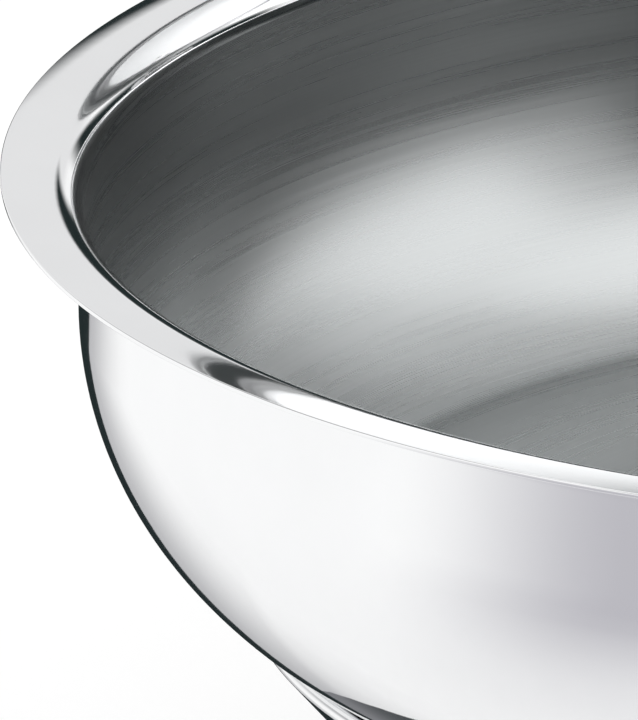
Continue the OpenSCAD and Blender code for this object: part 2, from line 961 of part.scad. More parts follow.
module thermostat_nut() {
    color("silver")
        front_panel(0)
            translate([0, 0, dial_t])
                hex_nut(bush_nut_r, bush_r + running_gap, bush_nut_t);
}

module dial_plate() {
    color([0.1, 0.1, 0.11])
        front_panel(0)
            washer(dial_r, bush_r + hole_gap, dial_t);
}

// The spindle's round with its flat, larger by gap
module spindle_section(gap) {
    intersection() {
        circle(r = spindle_r + gap);
        translate([-2 * spindle_r, -2 * spindle_r])
            square([4 * spindle_r, 2 * spindle_r + spindle_flat + gap]);
    }
}

module thermostat_spindle() {
    collar_end = bush_len - 0.5;
    color("silver")
        front_panel(0) {
            translate([0, 0, -plinth_t - spindle_in])
                cylinder(h = plinth_t + spindle_in + collar_end, r = spindle_r);
            translate([0, 0, collar_end])
                linear_extrude(knob_z + knob_bore_len - collar_end - 0.5)
                    spindle_section(0);
        }
}

module control_knob() {
    color([0.08, 0.08, 0.09])
        front_panel(0)
            translate([0, 0, knob_z])
                difference() {
                    union() {
                        cylinder(h = knob_skirt_h - 1, r = knob_r);
                        translate([0, 0, knob_skirt_h - 1])
                            cylinder(h = 1, r1 = knob_r, r2 = knob_r - 1);
                        translate([0, 0, knob_skirt_h])
                            cylinder(h = knob_l - knob_skirt_h - 1, r1 = knob_grip_r, r2 = knob_tip_r);
                        translate([0, 0, knob_l - 1])
                            cylinder(h = 1, r1 = knob_tip_r, r2 = knob_tip_r - 1);
                    }
                    translate([0, 0, -cut])
                        cylinder(h = knob_recess_h + cut, r = knob_recess_r);
                    linear_extrude(knob_bore_len)
                        spindle_section(running_gap);
                    translate([0, 0, knob_skirt_h])
                        ring([for (i = [0:flute_n - 1]) (i + 0.5) * 360 / flute_n], knob_grip_r + 0.6)
                            cylinder(h = knob_l, r = flute_r);
                    translate([-0.7, knob_grip_r - 1.5, knob_skirt_h - 0.6])
                        cube([1.4, knob_r, 2]);
                    translate([-0.7, knob_grip_r / 2, knob_l - 0.8])
                        cube([1.4, knob_r, 2]);
                }
}

module pilot_bezel() {
    color("silver")
        front_panel(-control_pitch)
            difference() {
                union() {
                    cylinder(h = bezel_h - 0.8, r = bezel_r);
                    translate([0, 0, bezel_h - 0.8])
                        cylinder(h = 0.8, r1 = bezel_r, r2 = bezel_r - 0.8);
                    translate([0, 0, -bezel_barrel_len])
                        cylinder(h = bezel_barrel_len, r = bezel_barrel_r);
                }
                translate([0, 0, -bezel_barrel_len - cut])
                    cylinder(h = bezel_barrel_len + bezel_h + 2 * cut, r = bezel_bore_r);
            }
}

module pilot_lens() {
    dome = (bezel_bore_r * bezel_bore_r + lens_rise * lens_rise) / 2 / lens_rise;
    color([1, 0.55, 0.1])
        front_panel(-control_pitch)
            translate([0, 0, -cut])
                intersection() {
                    cylinder(h = lens_h + lens_rise + cut, r = bezel_bore_r - running_gap);
                    translate([0, 0, lens_h + lens_rise + cut - dome])
                        sphere(r = dome);
                }
}

module pilot_lamp() {
    color([0.9, 0.88, 0.82])
        front_panel(-control_pitch)
            translate([0, 0, -cut - lamp_len]) {
                cylinder(h = lamp_len, r = bezel_bore_r - running_gap);
                for (x = [-1, 1])
                    translate([x * lamp_tab_x - tab_t / 2, -lamp_tab_w / 2, -tab_len])
                        cube([tab_t, lamp_tab_w, tab_len]);
            }
}

module switch_frame() {
    well_w = switch_w - 2 * switch_wall;
    well_h = switch_h - 2 * switch_wall;
    color([0.08, 0.08, 0.09])
        front_panel(control_pitch)
            difference() {
                union() {
                    translate([-switch_w / 2 - switch_flange, -switch_h / 2 - switch_flange, 0])
                        cube([switch_w + 2 * switch_flange, switch_h + 2 * switch_flange, switch_flange_t]);
                    translate([-switch_w / 2, -switch_h / 2, -plinth_t - switch_depth])
                        cube([switch_w, switch_h, plinth_t + switch_depth]);
                    for (y = [-1, 1])
                        translate([
                            -tab_w / 2,
                            y * switch_tab_pitch - tab_t / 2,
                            -plinth_t - switch_depth - tab_len
                        ])
                            cube([tab_w, tab_t, tab_len]);
                }
                translate([-well_w / 2, -well_h / 2, -switch_well])
                    cube([well_w, well_h, switch_well + switch_flange_t + cut]);
                translate([0, 0, rocker_pivot_z])
                    shaft(-switch_w / 2 - cut, switch_w / 2 + cut, rocker_pin_r + running_gap);
            }
}

module switch_rocker() {
    rocker_w = switch_w - 2 * switch_wall - 2 * rocker_gap;
    color([0.75, 0.1, 0.08])
        front_panel(control_pitch)
            translate([0, 0, rocker_pivot_z])
                rotate([rocker_a, 0, 0]) {
                    across(rocker_w)
                        polygon([
                            [-rocker_half, rocker_crown],
                            [0, rocker_crown - rocker_dip],
                            [rocker_half, rocker_crown],
                            [rocker_half, 1],
                            [3, -3],
                            [-3, -3],
                            [-rocker_half, 1]
                        ]);
                    shaft(-switch_w / 2 + 0.2, switch_w / 2 - 0.2, rocker_pin_r);
                }
}

// Middle of each blade of the inlet: x, y
inlet_blades = [[-blade_pitch, blade_y], [blade_pitch, blade_y], [0, earth_blade_y]];

module inlet_blade_row(z0, z1) {
    for (b = inlet_blades)
        translate([b[0] - blade_t / 2, b[1] - blade_w / 2, z0])
            cube([blade_t, blade_w, z1 - z0]);
}

module power_inlet() {
    color([0.07, 0.07, 0.08])
        back_panel()
            difference() {
                union() {
                    linear_extrude(inlet_flange_t) {
                        square([2 * inlet_flange_pitch, 2 * inlet_flange_r], center = true);
                        for (x = [-1, 1])
                            translate([x * inlet_flange_pitch, 0])
                                circle(r = inlet_flange_r);
                    }
                    translate([-inlet_w / 2, -inlet_h / 2, -inlet_depth])
                        cube([inlet_w, inlet_h, inlet_depth]);
                }
                translate([-inlet_w / 2 + inlet_wall, -inlet_h / 2 + inlet_wall, -inlet_socket])
                    cube([
                        inlet_w - 2 * inlet_wall,
                        inlet_h - 2 * inlet_wall,
                        inlet_socket + inlet_flange_t + cut
                    ]);
                inlet_blade_row(-inlet_depth - cut, 0);
                for (x = [-1, 1])
                    translate([x * inlet_screw_x, 0, -cut])
                        cylinder(h = inlet_flange_t + 2 * cut, r = screw_r + hole_gap);
            }
}

module inlet_pins() {
    color("gold")
        back_panel()
            inlet_blade_row(-inlet_depth - inlet_tab, inlet_flange_t - blade_tip);
}

module inlet_screws() {
    color("silver")
        back_panel()
            for (x = [-1, 1])
                translate([x * inlet_screw_x, 0, 0]) {
                    translate([0, 0, inlet_flange_t])
                        cylinder(h = screw_head_h, r = screw_head_r);
                    translate([0, 0, -plinth_t - nut_t])
                        cylinder(h = plinth_t + nut_t + inlet_flange_t, r = screw_r);
                    translate([0, 0, -plinth_t - nut_t])
                        cylinder(h = nut_t, r = nut_r, $fn = 6);
                }
}

// Where the earth stud stands on the bottom plate
earth_spot = [0, 78, lip_z];
earth_stud_h = 9;
earth_nut_h = 2.4;

module earth_stud() {
    color("goldenrod")
        translate(earth_spot) {
            translate([0, 0, -plate_t])
                cylinder(h = plate_t + earth_stud_h, r = screw_r);
            cylinder(h = earth_nut_h, r = nut_r, $fn = 6);
        }
}

// Ends of the tabs that the leads are joined to
thermostat_tab_y = -flat_y + plinth_t + thermostat_depth + tab_len;
switch_tab_y = -flat_y + plinth_t + switch_depth + tab_len;
inlet_tab_y = flat_y - inlet_depth - inlet_tab;
cold_pin_z = cold_end_z - cold_pin_len;
cutout_tab_z = spreader_z - cutout_h - cutout_tab_len;

// The tip of an element end's pin, by its angle
function cold_pin(a) = [element_ring_r * cos(a), element_ring_r * sin(a), cold_pin_z];

module live_lead() {
    color("saddlebrown")
        lead([
            [blade_pitch, inlet_tab_y, panel_z + blade_y],
            [blade_pitch, inlet_tab_y - lead_start, panel_z + blade_y],
            [lead_x, lead_back, lead_z],
            [lead_x, -lead_front, lead_z],
            [control_pitch, switch_tab_y + lead_start, panel_z + switch_tab_pitch],
            [control_pitch, switch_tab_y, panel_z + switch_tab_pitch]
        ], lead_r);
}

module switched_lead() {
    tab = [thermostat_tab_x, thermostat_tab_y, panel_z];
    color("saddlebrown")
        lead([
            [control_pitch, switch_tab_y, panel_z - switch_tab_pitch],
            [control_pitch, switch_tab_y + lead_start, panel_z - switch_tab_pitch],
            [(control_pitch + thermostat_tab_x) / 2, thermostat_tab_y + 2 * lead_start, lead_z - 4],
            tab + [0, lead_start, 0],
            tab
        ], lead_r);
}

module element_lead() {
    tab = [-thermostat_tab_x, thermostat_tab_y, panel_z];
    end = [-cutout_tab_x, cutout_y, cutout_tab_z];
    color("white")
        lead([
            tab,
            tab + [0, lead_start, 0],
            [-wiring_hole_r * 0.7, -lead_front, lead_z],
            [end[0], 0, end[2] - 2.2 * lead_start],
            end - [0, 0, 1.5 * lead_start],
            end
        ], lead_r);
}

module cutout_lead() {
    start = [cutout_tab_x, cutout_y, cutout_tab_z];
    pin = cold_pin(element_ends[1]);
    color("white")
        lead([
            start,
            start - [0, 0, lead_start],
            [-wiring_hole_r * 0.5, 0, start[2] - 1.3 * lead_start],
            [-lead_x, pin[1] - lead_r, lead_z + 2 * lead_r],
            pin - [0, 0, lead_start],
            pin
        ], lead_r);
}

module neutral_lead() {
    pin = cold_pin(element_ends[0]);
    color("steelblue")
        lead([
            [-blade_pitch, inlet_tab_y, panel_z + blade_y],
            [-blade_pitch, inlet_tab_y - lead_start, panel_z + blade_y],
            [-lead_x, lead_back, lead_z],
            pin - [0, 0, lead_start],
            pin
        ], lead_r);
}

module earth_lead() {
    lug = [0, earth_spot[1] + screw_r, lip_z + earth_nut_h + lead_r + 0.1];
    tab = [0, inlet_tab_y, panel_z + earth_blade_y];
    color("yellowgreen")
        lead([
            tab,
            tab - [0, lead_start, 0],
            lug + [0, 2 * lead_start, 4],
            lug + [0, lead_start, 0],
            lug
        ], lead_r);
}

// Rivet shanks through the pad and the bowl's wall
module bracket_rivet_shanks(r) {
    for (z = bracket_rivet_rows)
        ring([90 - bracket_rivet_a, 90 + bracket_rivet_a], wall_in_r - cut)
            translate([0, 0, z])
                rotate([0, 90, 0])
                    cylinder(h = bowl_t + pad_t + 2 * cut, r = r);
}

module hinge_bracket() {
    ear_mid = ear_gap / 2 + ear_t / 2;
    color("silver")
        difference() {
            union() {
                intersection() {
                    translate([0, 0, pad_low])
                        washer(wall_r + pad_t, wall_r, pad_high - pad_low);
                    translate([0, 0, pad_low])
                        linear_extrude(pad_high - pad_low)
                            polygon([
                                [0, 0],
                                polar([0, 0], 2 * wall_r, 90 - pad_a),
                                polar([0, 0], 2 * wall_r, 90 + pad_a)
                            ]);
                }
                difference() {
                    for (x = [-ear_mid, ear_mid])
                        translate([x, 0, 0])
                            across(ear_t) {
                                polygon([
                                    [wall_r - 6, pad_low],
                                    [wall_r - 6, pad_high],
                                    [wall_r + 1, pad_high],
                                    [throat_cr, ear_top],
                                    [ear_front, ear_top],
                                    [hinge_y - ear_r, hinge_z],
                                    [hinge_y + ear_r, hinge_z],
                                    [hinge_y + ear_r - 2, ear_top - 5],
                                    [wall_r + 8, pad_low]
                                ]);
                                translate([hinge_y, hinge_z])
                                    circle(r = ear_r);
                            }
                    translate([0, 0, pad_low - cut])
                        cylinder(h = pad_high - pad_low + throat_r, r = wall_r);
                }
                translate([-ear_gap / 2 - ear_t / 2, ear_front, web_low])
                    cube([ear_gap + ear_t, web_t, web_high - web_low]);
            }
            translate([0, hinge_y, hinge_z])
                shaft(-ear_gap, ear_gap, pin_r + running_gap / 2);
            bracket_rivet_shanks(bracket_rivet_r + running_gap);
            translate([0, ear_front - cut, (web_low + web_high) / 2])
                rotate([-90, 0, 0])
                    cylinder(h = web_t + 2 * cut, r = stop_stem_r + running_gap);
        }
}

module bracket_rivets() {
    // The flat heads on the inside touch the round wall at their sides
    head_seat = wall_in_r - head_sag;
    color("silver")
        for (z = bracket_rivet_rows)
            ring([90 - bracket_rivet_a, 90 + bracket_rivet_a], 0)
                translate([0, 0, z])
                    rotate([0, 90, 0]) {
                        translate([0, 0, head_seat])
                            cylinder(h = wall_r + pad_t - head_seat, r = bracket_rivet_r);
                        translate([0, 0, head_seat - bracket_rivet_head_h])
                            cylinder(h = bracket_rivet_head_h, r = bracket_rivet_head_r);
                        translate([0, 0, wall_r + pad_t])
                            cylinder(h = bracket_rivet_head_h, r = bracket_rivet_head_r);
                    }
}

module hinge_pin() {
    far = ear_gap / 2 + ear_t;
    color("gainsboro")
        translate([0, hinge_y, hinge_z])
            difference() {
                union() {
                    shaft(-far, far + pin_end, pin_r);
                    shaft(-far - pin_head_t, -far, pin_head_r);
                }
                difference() {
                    shaft(far, far + clip_ring_t, 2 * pin_r);
                    shaft(far - cut, far + clip_ring_t + cut, groove_r);
                }
            }
}

module pin_clip() {
    far = ear_gap / 2 + ear_t;
    color("dimgray")
        translate([far, hinge_y, hinge_z])
            rotate([0, 90, 0])
                difference() {
                    cylinder(h = clip_ring_t, r = clip_ring_r);
                    translate([0, 0, -cut])
                        cylinder(h = clip_ring_t + 2 * cut, r = groove_r);
                    translate([0, -groove_r * 0.8, -cut])
                        cube([2 * clip_ring_r, groove_r * 1.6, clip_ring_t + 2 * cut]);
                }
}

module hinge_washers() {
    color("whitesmoke")
        for (side = [0, 180])
            translate([0, hinge_y, hinge_z])
                rotate([0, 0, side])
                    translate([barrel_half + side_play, 0, 0])
                        rotate([0, 90, 0])
                            washer(barrel_r + 0.5, pin_r + running_gap, washer_t);
}

module open_stop() {
    face = hinge_y - tail_t / 2 - stop_gap;
    color([0.1, 0.1, 0.1])
        translate([0, 0, (web_low + web_high) / 2])
            rotate([-90, 0, 0]) {
                translate([0, 0, ear_front + web_t])
                    cylinder(h = face - ear_front - web_t, r = stop_r);
                translate([0, 0, ear_front])
                    cylinder(h = web_t, r = stop_stem_r);
            }
}

// The lid's parts are drawn closed and turned open about the hinge
module open_lid() {
    translate([0, hinge_y, hinge_z])
        rotate([-lid_open_a, 0, 0])
            translate([0, -hinge_y, rim_z - hinge_z])
                children();
}

// All that lies under one face of the lid's sheet
module lid_envelope(side) {
    rotate_extrude()
        polygon(concat([[0, envelope_low], [bead_cr, envelope_low]], lid_face(side)));
}

// A frame on the dome's middle surface, z outwards, above the point x, y
module on_dome(x, y) {
    translate([0, 0, dome_cz])
        rotate([0, 0, atan2(y, x)])
            rotate([0, asin(norm([x, y]) / dome_r), 0])
                translate([0, 0, dome_r])
                    children();
}

// A frame on the dome's top surface in the middle of the handle, z outwards, x across
module handle_frame() {
    translate([0, 0, dome_cz])
        rotate([handle_a, 0, 0])
            translate([0, 0, dome_out_r])
                children();
}

module strap_solid() {
    dome_at_front = dome_cz + sqrt(pow(dome_out_r, 2) - pow(arm_front, 2));
    across(arm_w)
        polygon([
            [hinge_y, hinge_up - arm_t / 2],
            [hinge_y, hinge_up + arm_t / 2],
            [arm_knee, hinge_up + arm_t / 2],
            [arm_front + 2, dome_at_front + arm_t - 0.8],
            [arm_front, dome_at_front + arm_t - 2],
            [arm_front, dome_at_front - 6],
            [arm_knee - 6, hinge_up - arm_t / 2]
        ]);
}

module hinge_arm() {
    color("gainsboro")
        open_lid()
            difference() {
                union() {
                    strap_solid();
                    translate([0, hinge_y, hinge_up]) {
                        shaft(-barrel_half, barrel_half, barrel_r);
                        rotate([tail_a, 0, 0])
                            translate([-arm_w / 2, 0, -tail_t / 2])
                                cube([arm_w, tail_len, tail_t]);
                    }
                }
                lid_envelope(1);
                translate([0, hinge_y, hinge_up])
                    shaft(-ear_gap, ear_gap, pin_r + running_gap);
                arm_rivet_shanks(arm_rivet_r + running_gap);
            }
}

module arm_rivet_shanks(r) {
    for (s = arm_rivet_spots)
        on_dome(s[0], s[1])
            translate([0, 0, -lid_t])
                cylinder(h = lid_t + 2 * arm_t, r = r);
}

module arm_rivets() {
    color("silver")
        open_lid()
            for (s = arm_rivet_spots) {
                on_dome(s[0], s[1])
                    translate([0, 0, -lid_t / 2 - arm_rivet_head_h / 2])
                        cylinder(h = lid_t + arm_t + arm_rivet_head_h, r = arm_rivet_r);
                difference() {
                    on_dome(s[0], s[1])
                        translate([0, 0, arm_t - 1])
                            cylinder(h = arm_rivet_head_h + 1, r = arm_rivet_head_r);
                    strap_solid();
                }
                intersection() {
                    on_dome(s[0], s[1])
                        translate([0, 0, -lid_t / 2 - arm_rivet_head_h])
                            cylinder(h = arm_rivet_head_h + lid_t, r = arm_rivet_head_r);
                    lid_envelope(-1);
                }
            }
}

module ladle_notch() {
    translate([notch_depth, 0, notch_z])
        rotate([0, 90, 0])
            linear_extrude(rim_r) {
                circle(r = notch_r);
                translate([0, -notch_r])
                    square(2 * notch_r);
            }
}

module lid_shell() {
    color("silver")
        open_lid()
            difference() {
                union() {
                    rotate_extrude()
                        polygon(concat(lid_face(1), reversed(lid_face(-1))));
                    translate([0, 0, flange_z])
                        rotate_extrude()
                            translate([bead_cr, 0])
                                circle(r = bead_r, $fn = 12);
                }
                ladle_notch();
                arm_rivet_shanks(arm_rivet_r + running_gap);
                handle_frame()
                    for (x = [-1, 1])
                        translate([x * post_pitch / 2, 0, -post_root - lid_t])
                            cylinder(h = 2 * post_root, r = handle_screw_r + running_gap);
            }
}

// The bar's solid in the handle's frame
module bar_solid() {
    translate([0, 0, bar_h]) {
        shaft(-bar_half, bar_half, bar_r);
        for (x = [-1, 1])
            translate([x * bar_half, 0, 0])
                sphere(r = bar_r);
    }
}

module lid_handle_bar() {
    color("gainsboro")
        open_lid()
            handle_frame()
                bar_solid();
}

module handle_posts() {
    color("silver")
        open_lid()
            difference() {
                handle_frame()
                    difference() {
                        for (x = [-1, 1])
                            translate([x * post_pitch / 2, 0, -post_root])
                                cylinder(h = bar_h + post_root, r = post_r);
                        for (x = [-1, 1])
                            translate([x * post_pitch / 2, 0, -post_root - cut])
                                cylinder(h = post_root + handle_screw_in + cut, r = handle_screw_r + running_gap);
                        bar_solid();
                    }
                lid_envelope(1);
            }
}

module handle_screws() {
    color("silver")
        open_lid() {
            handle_frame()
                for (x = [-1, 1])
                    translate([x * post_pitch / 2, 0, -post_sag - lid_t])
                        cylinder(h = post_sag + lid_t + handle_screw_in - 1, r = handle_screw_r);
            intersection() {
                handle_frame()
                    for (x = [-1, 1])
                        translate([x * post_pitch / 2, 0, -post_sag - lid_t - handle_screw_head_h])
                            cylinder(h = handle_screw_head_h + lid_t, r = handle_screw_head_r);
                lid_envelope(-1);
            }
        }
}

kettle_bowl();
base_cap();
spreader_plate();
heating_element();
element_clamp();
clamp_rivets();
element_bushings();
insulation_disc();
thermal_cutout();
sensor_bulb();
bulb_clip();
spreader_screws();
cap_studs();
stud_nuts();
plinth_gasket();
plinth_shell();
bottom_plate();
plate_screws();
rubber_feet();
foot_screws();
foot_nuts();
thermostat_body();
thermostat_nut();
dial_plate();
thermostat_spindle();
control_knob();
pilot_bezel();
pilot_lens();
pilot_lamp();
switch_frame();
switch_rocker();
power_inlet();
inlet_pins();
inlet_screws();
earth_stud();
live_lead();
switched_lead();
element_lead();
cutout_lead();
neutral_lead();
earth_lead();
hinge_bracket();
bracket_rivets();
hinge_pin();
pin_clip();
hinge_washers();
open_stop();
hinge_arm();
arm_rivets();
lid_shell();
lid_handle_bar();
handle_posts();
handle_screws();
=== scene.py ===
"""Soup kettle: smooth sheet metal, finishes, dial markings, studio and camera."""
import logging
import math
from dataclasses import dataclass
from enum import Enum
from typing import Callable, ClassVar, Optional, Sequence

import bmesh
import bpy
from mathutils import Matrix, Vector


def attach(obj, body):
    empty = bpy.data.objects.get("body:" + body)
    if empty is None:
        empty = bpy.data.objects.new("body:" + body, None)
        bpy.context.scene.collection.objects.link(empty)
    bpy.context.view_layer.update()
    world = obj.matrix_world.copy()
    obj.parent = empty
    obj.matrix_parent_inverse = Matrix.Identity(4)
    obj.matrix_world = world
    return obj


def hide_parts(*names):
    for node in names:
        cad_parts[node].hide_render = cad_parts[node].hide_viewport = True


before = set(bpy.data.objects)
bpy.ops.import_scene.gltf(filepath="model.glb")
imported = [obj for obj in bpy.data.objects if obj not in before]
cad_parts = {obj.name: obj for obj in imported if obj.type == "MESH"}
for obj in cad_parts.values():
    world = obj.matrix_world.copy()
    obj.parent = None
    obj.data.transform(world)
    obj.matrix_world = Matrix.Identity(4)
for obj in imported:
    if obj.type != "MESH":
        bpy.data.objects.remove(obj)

log = logging.getLogger("soup_kettle")

MM = 0.001
FULL_TURN = 2 * math.pi
CREASE = math.radians(40.0)
WHITE = (1.0, 1.0, 1.0, 1.0)
STILL = (0.0, 0.0, 0.0)
Point = tuple[float, float]
Place = tuple[float, float, float]
Colour = tuple[float, float, float]
Fades = tuple[float, float, float]
Socket = bpy.types.NodeSocket
Node = bpy.types.Node
Tree = bpy.types.NodeTree
Piece = bpy.types.Object


class Axis(Enum):
    """Direction that a grain runs in."""

    X = (1.0, 0.0, 0.0)
    Y = (0.0, 1.0, 0.0)
    Z = (0.0, 0.0, 1.0)


class Body(Enum):
    """The bodies of the frame that pieces ride on."""

    BASE = "base"
    LID = "lid"
    KNOB = "knob"
    ROCKER = "rocker"


# ---------------------------------------------------------------- modelling


def clear_selection() -> None:
    """Leaves edit mode and deselects every object."""
    if bpy.context.object and bpy.context.object.mode != "OBJECT":
        bpy.ops.object.mode_set(mode="OBJECT")
    bpy.ops.object.select_all(action="DESELECT")


def take(piece: Piece) -> None:
    """Makes a piece the active object and the only one selected.

    Args:
        piece: the object to work on.
    """
    clear_selection()
    piece.select_set(True)
    bpy.context.view_layer.objects.active = piece


def settle(piece: Piece) -> Piece:
    """Puts a piece's place, turn and size into its mesh.

    Args:
        piece: the object to settle.

    Returns:
        The same object, at the origin, unturned and unscaled.
    """
    take(piece)
    bpy.ops.object.transform_apply(location=True, rotation=True, scale=True)
    return piece


def named(name: str) -> Piece:
    """Names the active object and its mesh.

    Args:
        name: the name for both.

    Returns:
        The object.
    """
    piece = bpy.context.object
    piece.name = name
    piece.data.name = name
    return piece


def place(piece: Piece, matrix: Matrix) -> Piece:
    """Moves a piece by a matrix without shear, settles it and returns it."""
    piece.matrix_world = matrix @ piece.matrix_world
    return settle(piece)


def edit(piece: Piece, kind: str, action: str) -> None:
    """Goes to edit mode with all of a piece selected, or none of it.

    Args:
        piece: the object to edit.
        kind: what is selected: VERT, EDGE or FACE.
        action: SELECT for all and DESELECT for none.
    """
    take(piece)
    bpy.ops.object.mode_set(mode="EDIT")
    bpy.ops.mesh.select_mode(type=kind)
    bpy.ops.mesh.select_all(action=action)


def pick_faces(piece: Piece, test: Callable[[Vector, Vector], bool]) -> None:
    """Goes to edit mode and selects the faces whose middle and normal pass a test.

    Args:
        piece: the object to edit.
        test: takes a face's middle and normal.
    """
    edit(piece, "FACE", "DESELECT")
    shape = bmesh.from_edit_mesh(piece.data)
    for face in shape.faces:
        face.select_set(test(face.calc_center_median(), face.normal))
    bmesh.update_edit_mesh(piece.data)


def pick_edges(piece: Piece, test: Callable[[Vector, Vector], bool]) -> None:
    """Goes to edit mode and selects the edges whose two ends pass a test.

    Args:
        piece: the object to edit.
        test: takes an edge's two ends.
    """
    edit(piece, "EDGE", "DESELECT")
    shape = bmesh.from_edit_mesh(piece.data)
    for edge in shape.edges:
        edge.select_set(test(edge.verts[0].co, edge.verts[1].co))
    bmesh.update_edit_mesh(piece.data)


def smooth(piece: Piece) -> None:
    """Shades a piece smooth, and keeps the edges that are sharper than a crease."""
    take(piece)
    bpy.ops.object.shade_smooth_by_angle(angle=CREASE)


def cut_with(piece: Piece, cutter: Piece) -> None:
    """Takes a cutter's volume out of a piece and deletes the cutter.

    Args:
        piece: the object that is cut.
        cutter: the object whose volume is removed.
    """
    take(piece)
    bpy.ops.object.modifier_add(type="BOOLEAN")
    cut = piece.modifiers[-1]
    cut.operation = "DIFFERENCE"
    cut.solver = "EXACT"
    cut.object = cutter
    bpy.ops.object.modifier_apply(modifier=cut.name)
    take(cutter)
    bpy.ops.object.delete()


def arc(centre: Point, radius: float, start: float, end: float, steps: int) -> list[Point]:
    """Points along an arc of a profile.

    Args:
        centre: the arc's centre, radius and height in millimetres.
        radius: the arc's radius in millimetres.
        start: first angle in degrees, 0 outwards and 90 up.
        end: last angle in degrees.
        steps: number of legs.

    Returns:
        The points from the first angle to the last.
    """
    turns = [math.radians(start + (end - start) * k / steps) for k in range(steps + 1)]
    return [(centre[0] + radius * math.cos(a), centre[1] + radius * math.sin(a)) for a in turns]


def traced(name: str, route: Sequence[Vector]) -> Piece:
    """Draws a line of edges through points.

    Args:
        name: the new piece's name.
        route: the points in order, in metres.

    Returns:
        The piece, in edit mode with all of it selected.
    """
    clear_selection()
    bpy.ops.mesh.primitive_plane_add(size=MM)
    piece = named(name)
    edit(piece, "VERT", "SELECT")
    bpy.ops.mesh.merge(type="CENTER")
    bpy.ops.transform.translate(value=route[0])
    for here, there in zip(route, route[1:]):
        bpy.ops.mesh.extrude_vertices_move(TRANSFORM_OT_translate={"value": there - here})
    bpy.ops.mesh.select_all(action="SELECT")
    return piece


def turned(name: str, profile: Sequence[Point], steps: int, closed: bool = False) -> Piece:
    """Spins a profile round the upright axis, as on a lathe.

    Args:
        name: the new piece's name.
        profile: radius and height of each point, in millimetres.
        steps: number of faces round the axis.
        closed: True where the profile returns to its first point.

    Returns:
        A closed mesh whose faces point outwards.
    """
    route = [Vector((r * MM, 0.0, z * MM)) for r, z in profile]
    if closed:
        route.append(route[0])
    piece = traced(name, route)
    bpy.ops.mesh.spin(steps=steps, angle=FULL_TURN, center=(0, 0, 0), axis=(0, 0, 1))
    bpy.ops.mesh.select_all(action="SELECT")
    bpy.ops.mesh.remove_doubles(threshold=2e-6)
    bpy.ops.mesh.normals_make_consistent(inside=False)
    bpy.ops.object.mode_set(mode="OBJECT")
    return piece


def lettering(name: str, words: str, height: float, thickness: float) -> Piece:
    """A flat mesh of a few characters, middle at the origin, facing up.

    Args:
        name: the new piece's name.
        words: the characters.
        height: height of the type, in metres.
        thickness: how thick the characters are, in metres.

    Returns:
        The mesh, with its place settled.
    """
    clear_selection()
    bpy.ops.object.text_add()
    text = bpy.context.object
    text.data.body = words
    text.data.size = height
    text.data.align_x = "CENTER"
    text.data.align_y = "CENTER"
    text.data.extrude = thickness / 2
    text.data.resolution_u = 3
    bpy.ops.object.convert(target="MESH")
    return settle(named(name))


def joined(name: str, parts: Sequence[Piece]) -> Piece:
    """Joins several pieces into one.

    Args:
        name: the joined piece's name.
        parts: the pieces, which become one.

    Returns:
        The joined piece.
    """
    take(parts[0])
    for part in parts:
        part.select_set(True)
    bpy.ops.object.join()
    return named(name)


# ----------------------------------------------------------------- finishes


def wired(tree: Tree, kind: str, *feeds: object, **settings: object) -> Node:
    """Adds a node, sets its properties and feeds its inputs in order.

    Args:
        tree: the node tree.
        kind: the node's type.
        feeds: an output or a value for each input, in order; None leaves one as it is.
        settings: names and values of its properties.

    Returns:
        The node.
    """
    made = tree.nodes.new(kind)
    for name, value in settings.items():
        setattr(made, name, value)
    for socket, value in zip(made.inputs, feeds):
        if isinstance(value, Socket):
            tree.links.new(value, socket)
        elif value is not None:
            socket.default_value = value
    return made


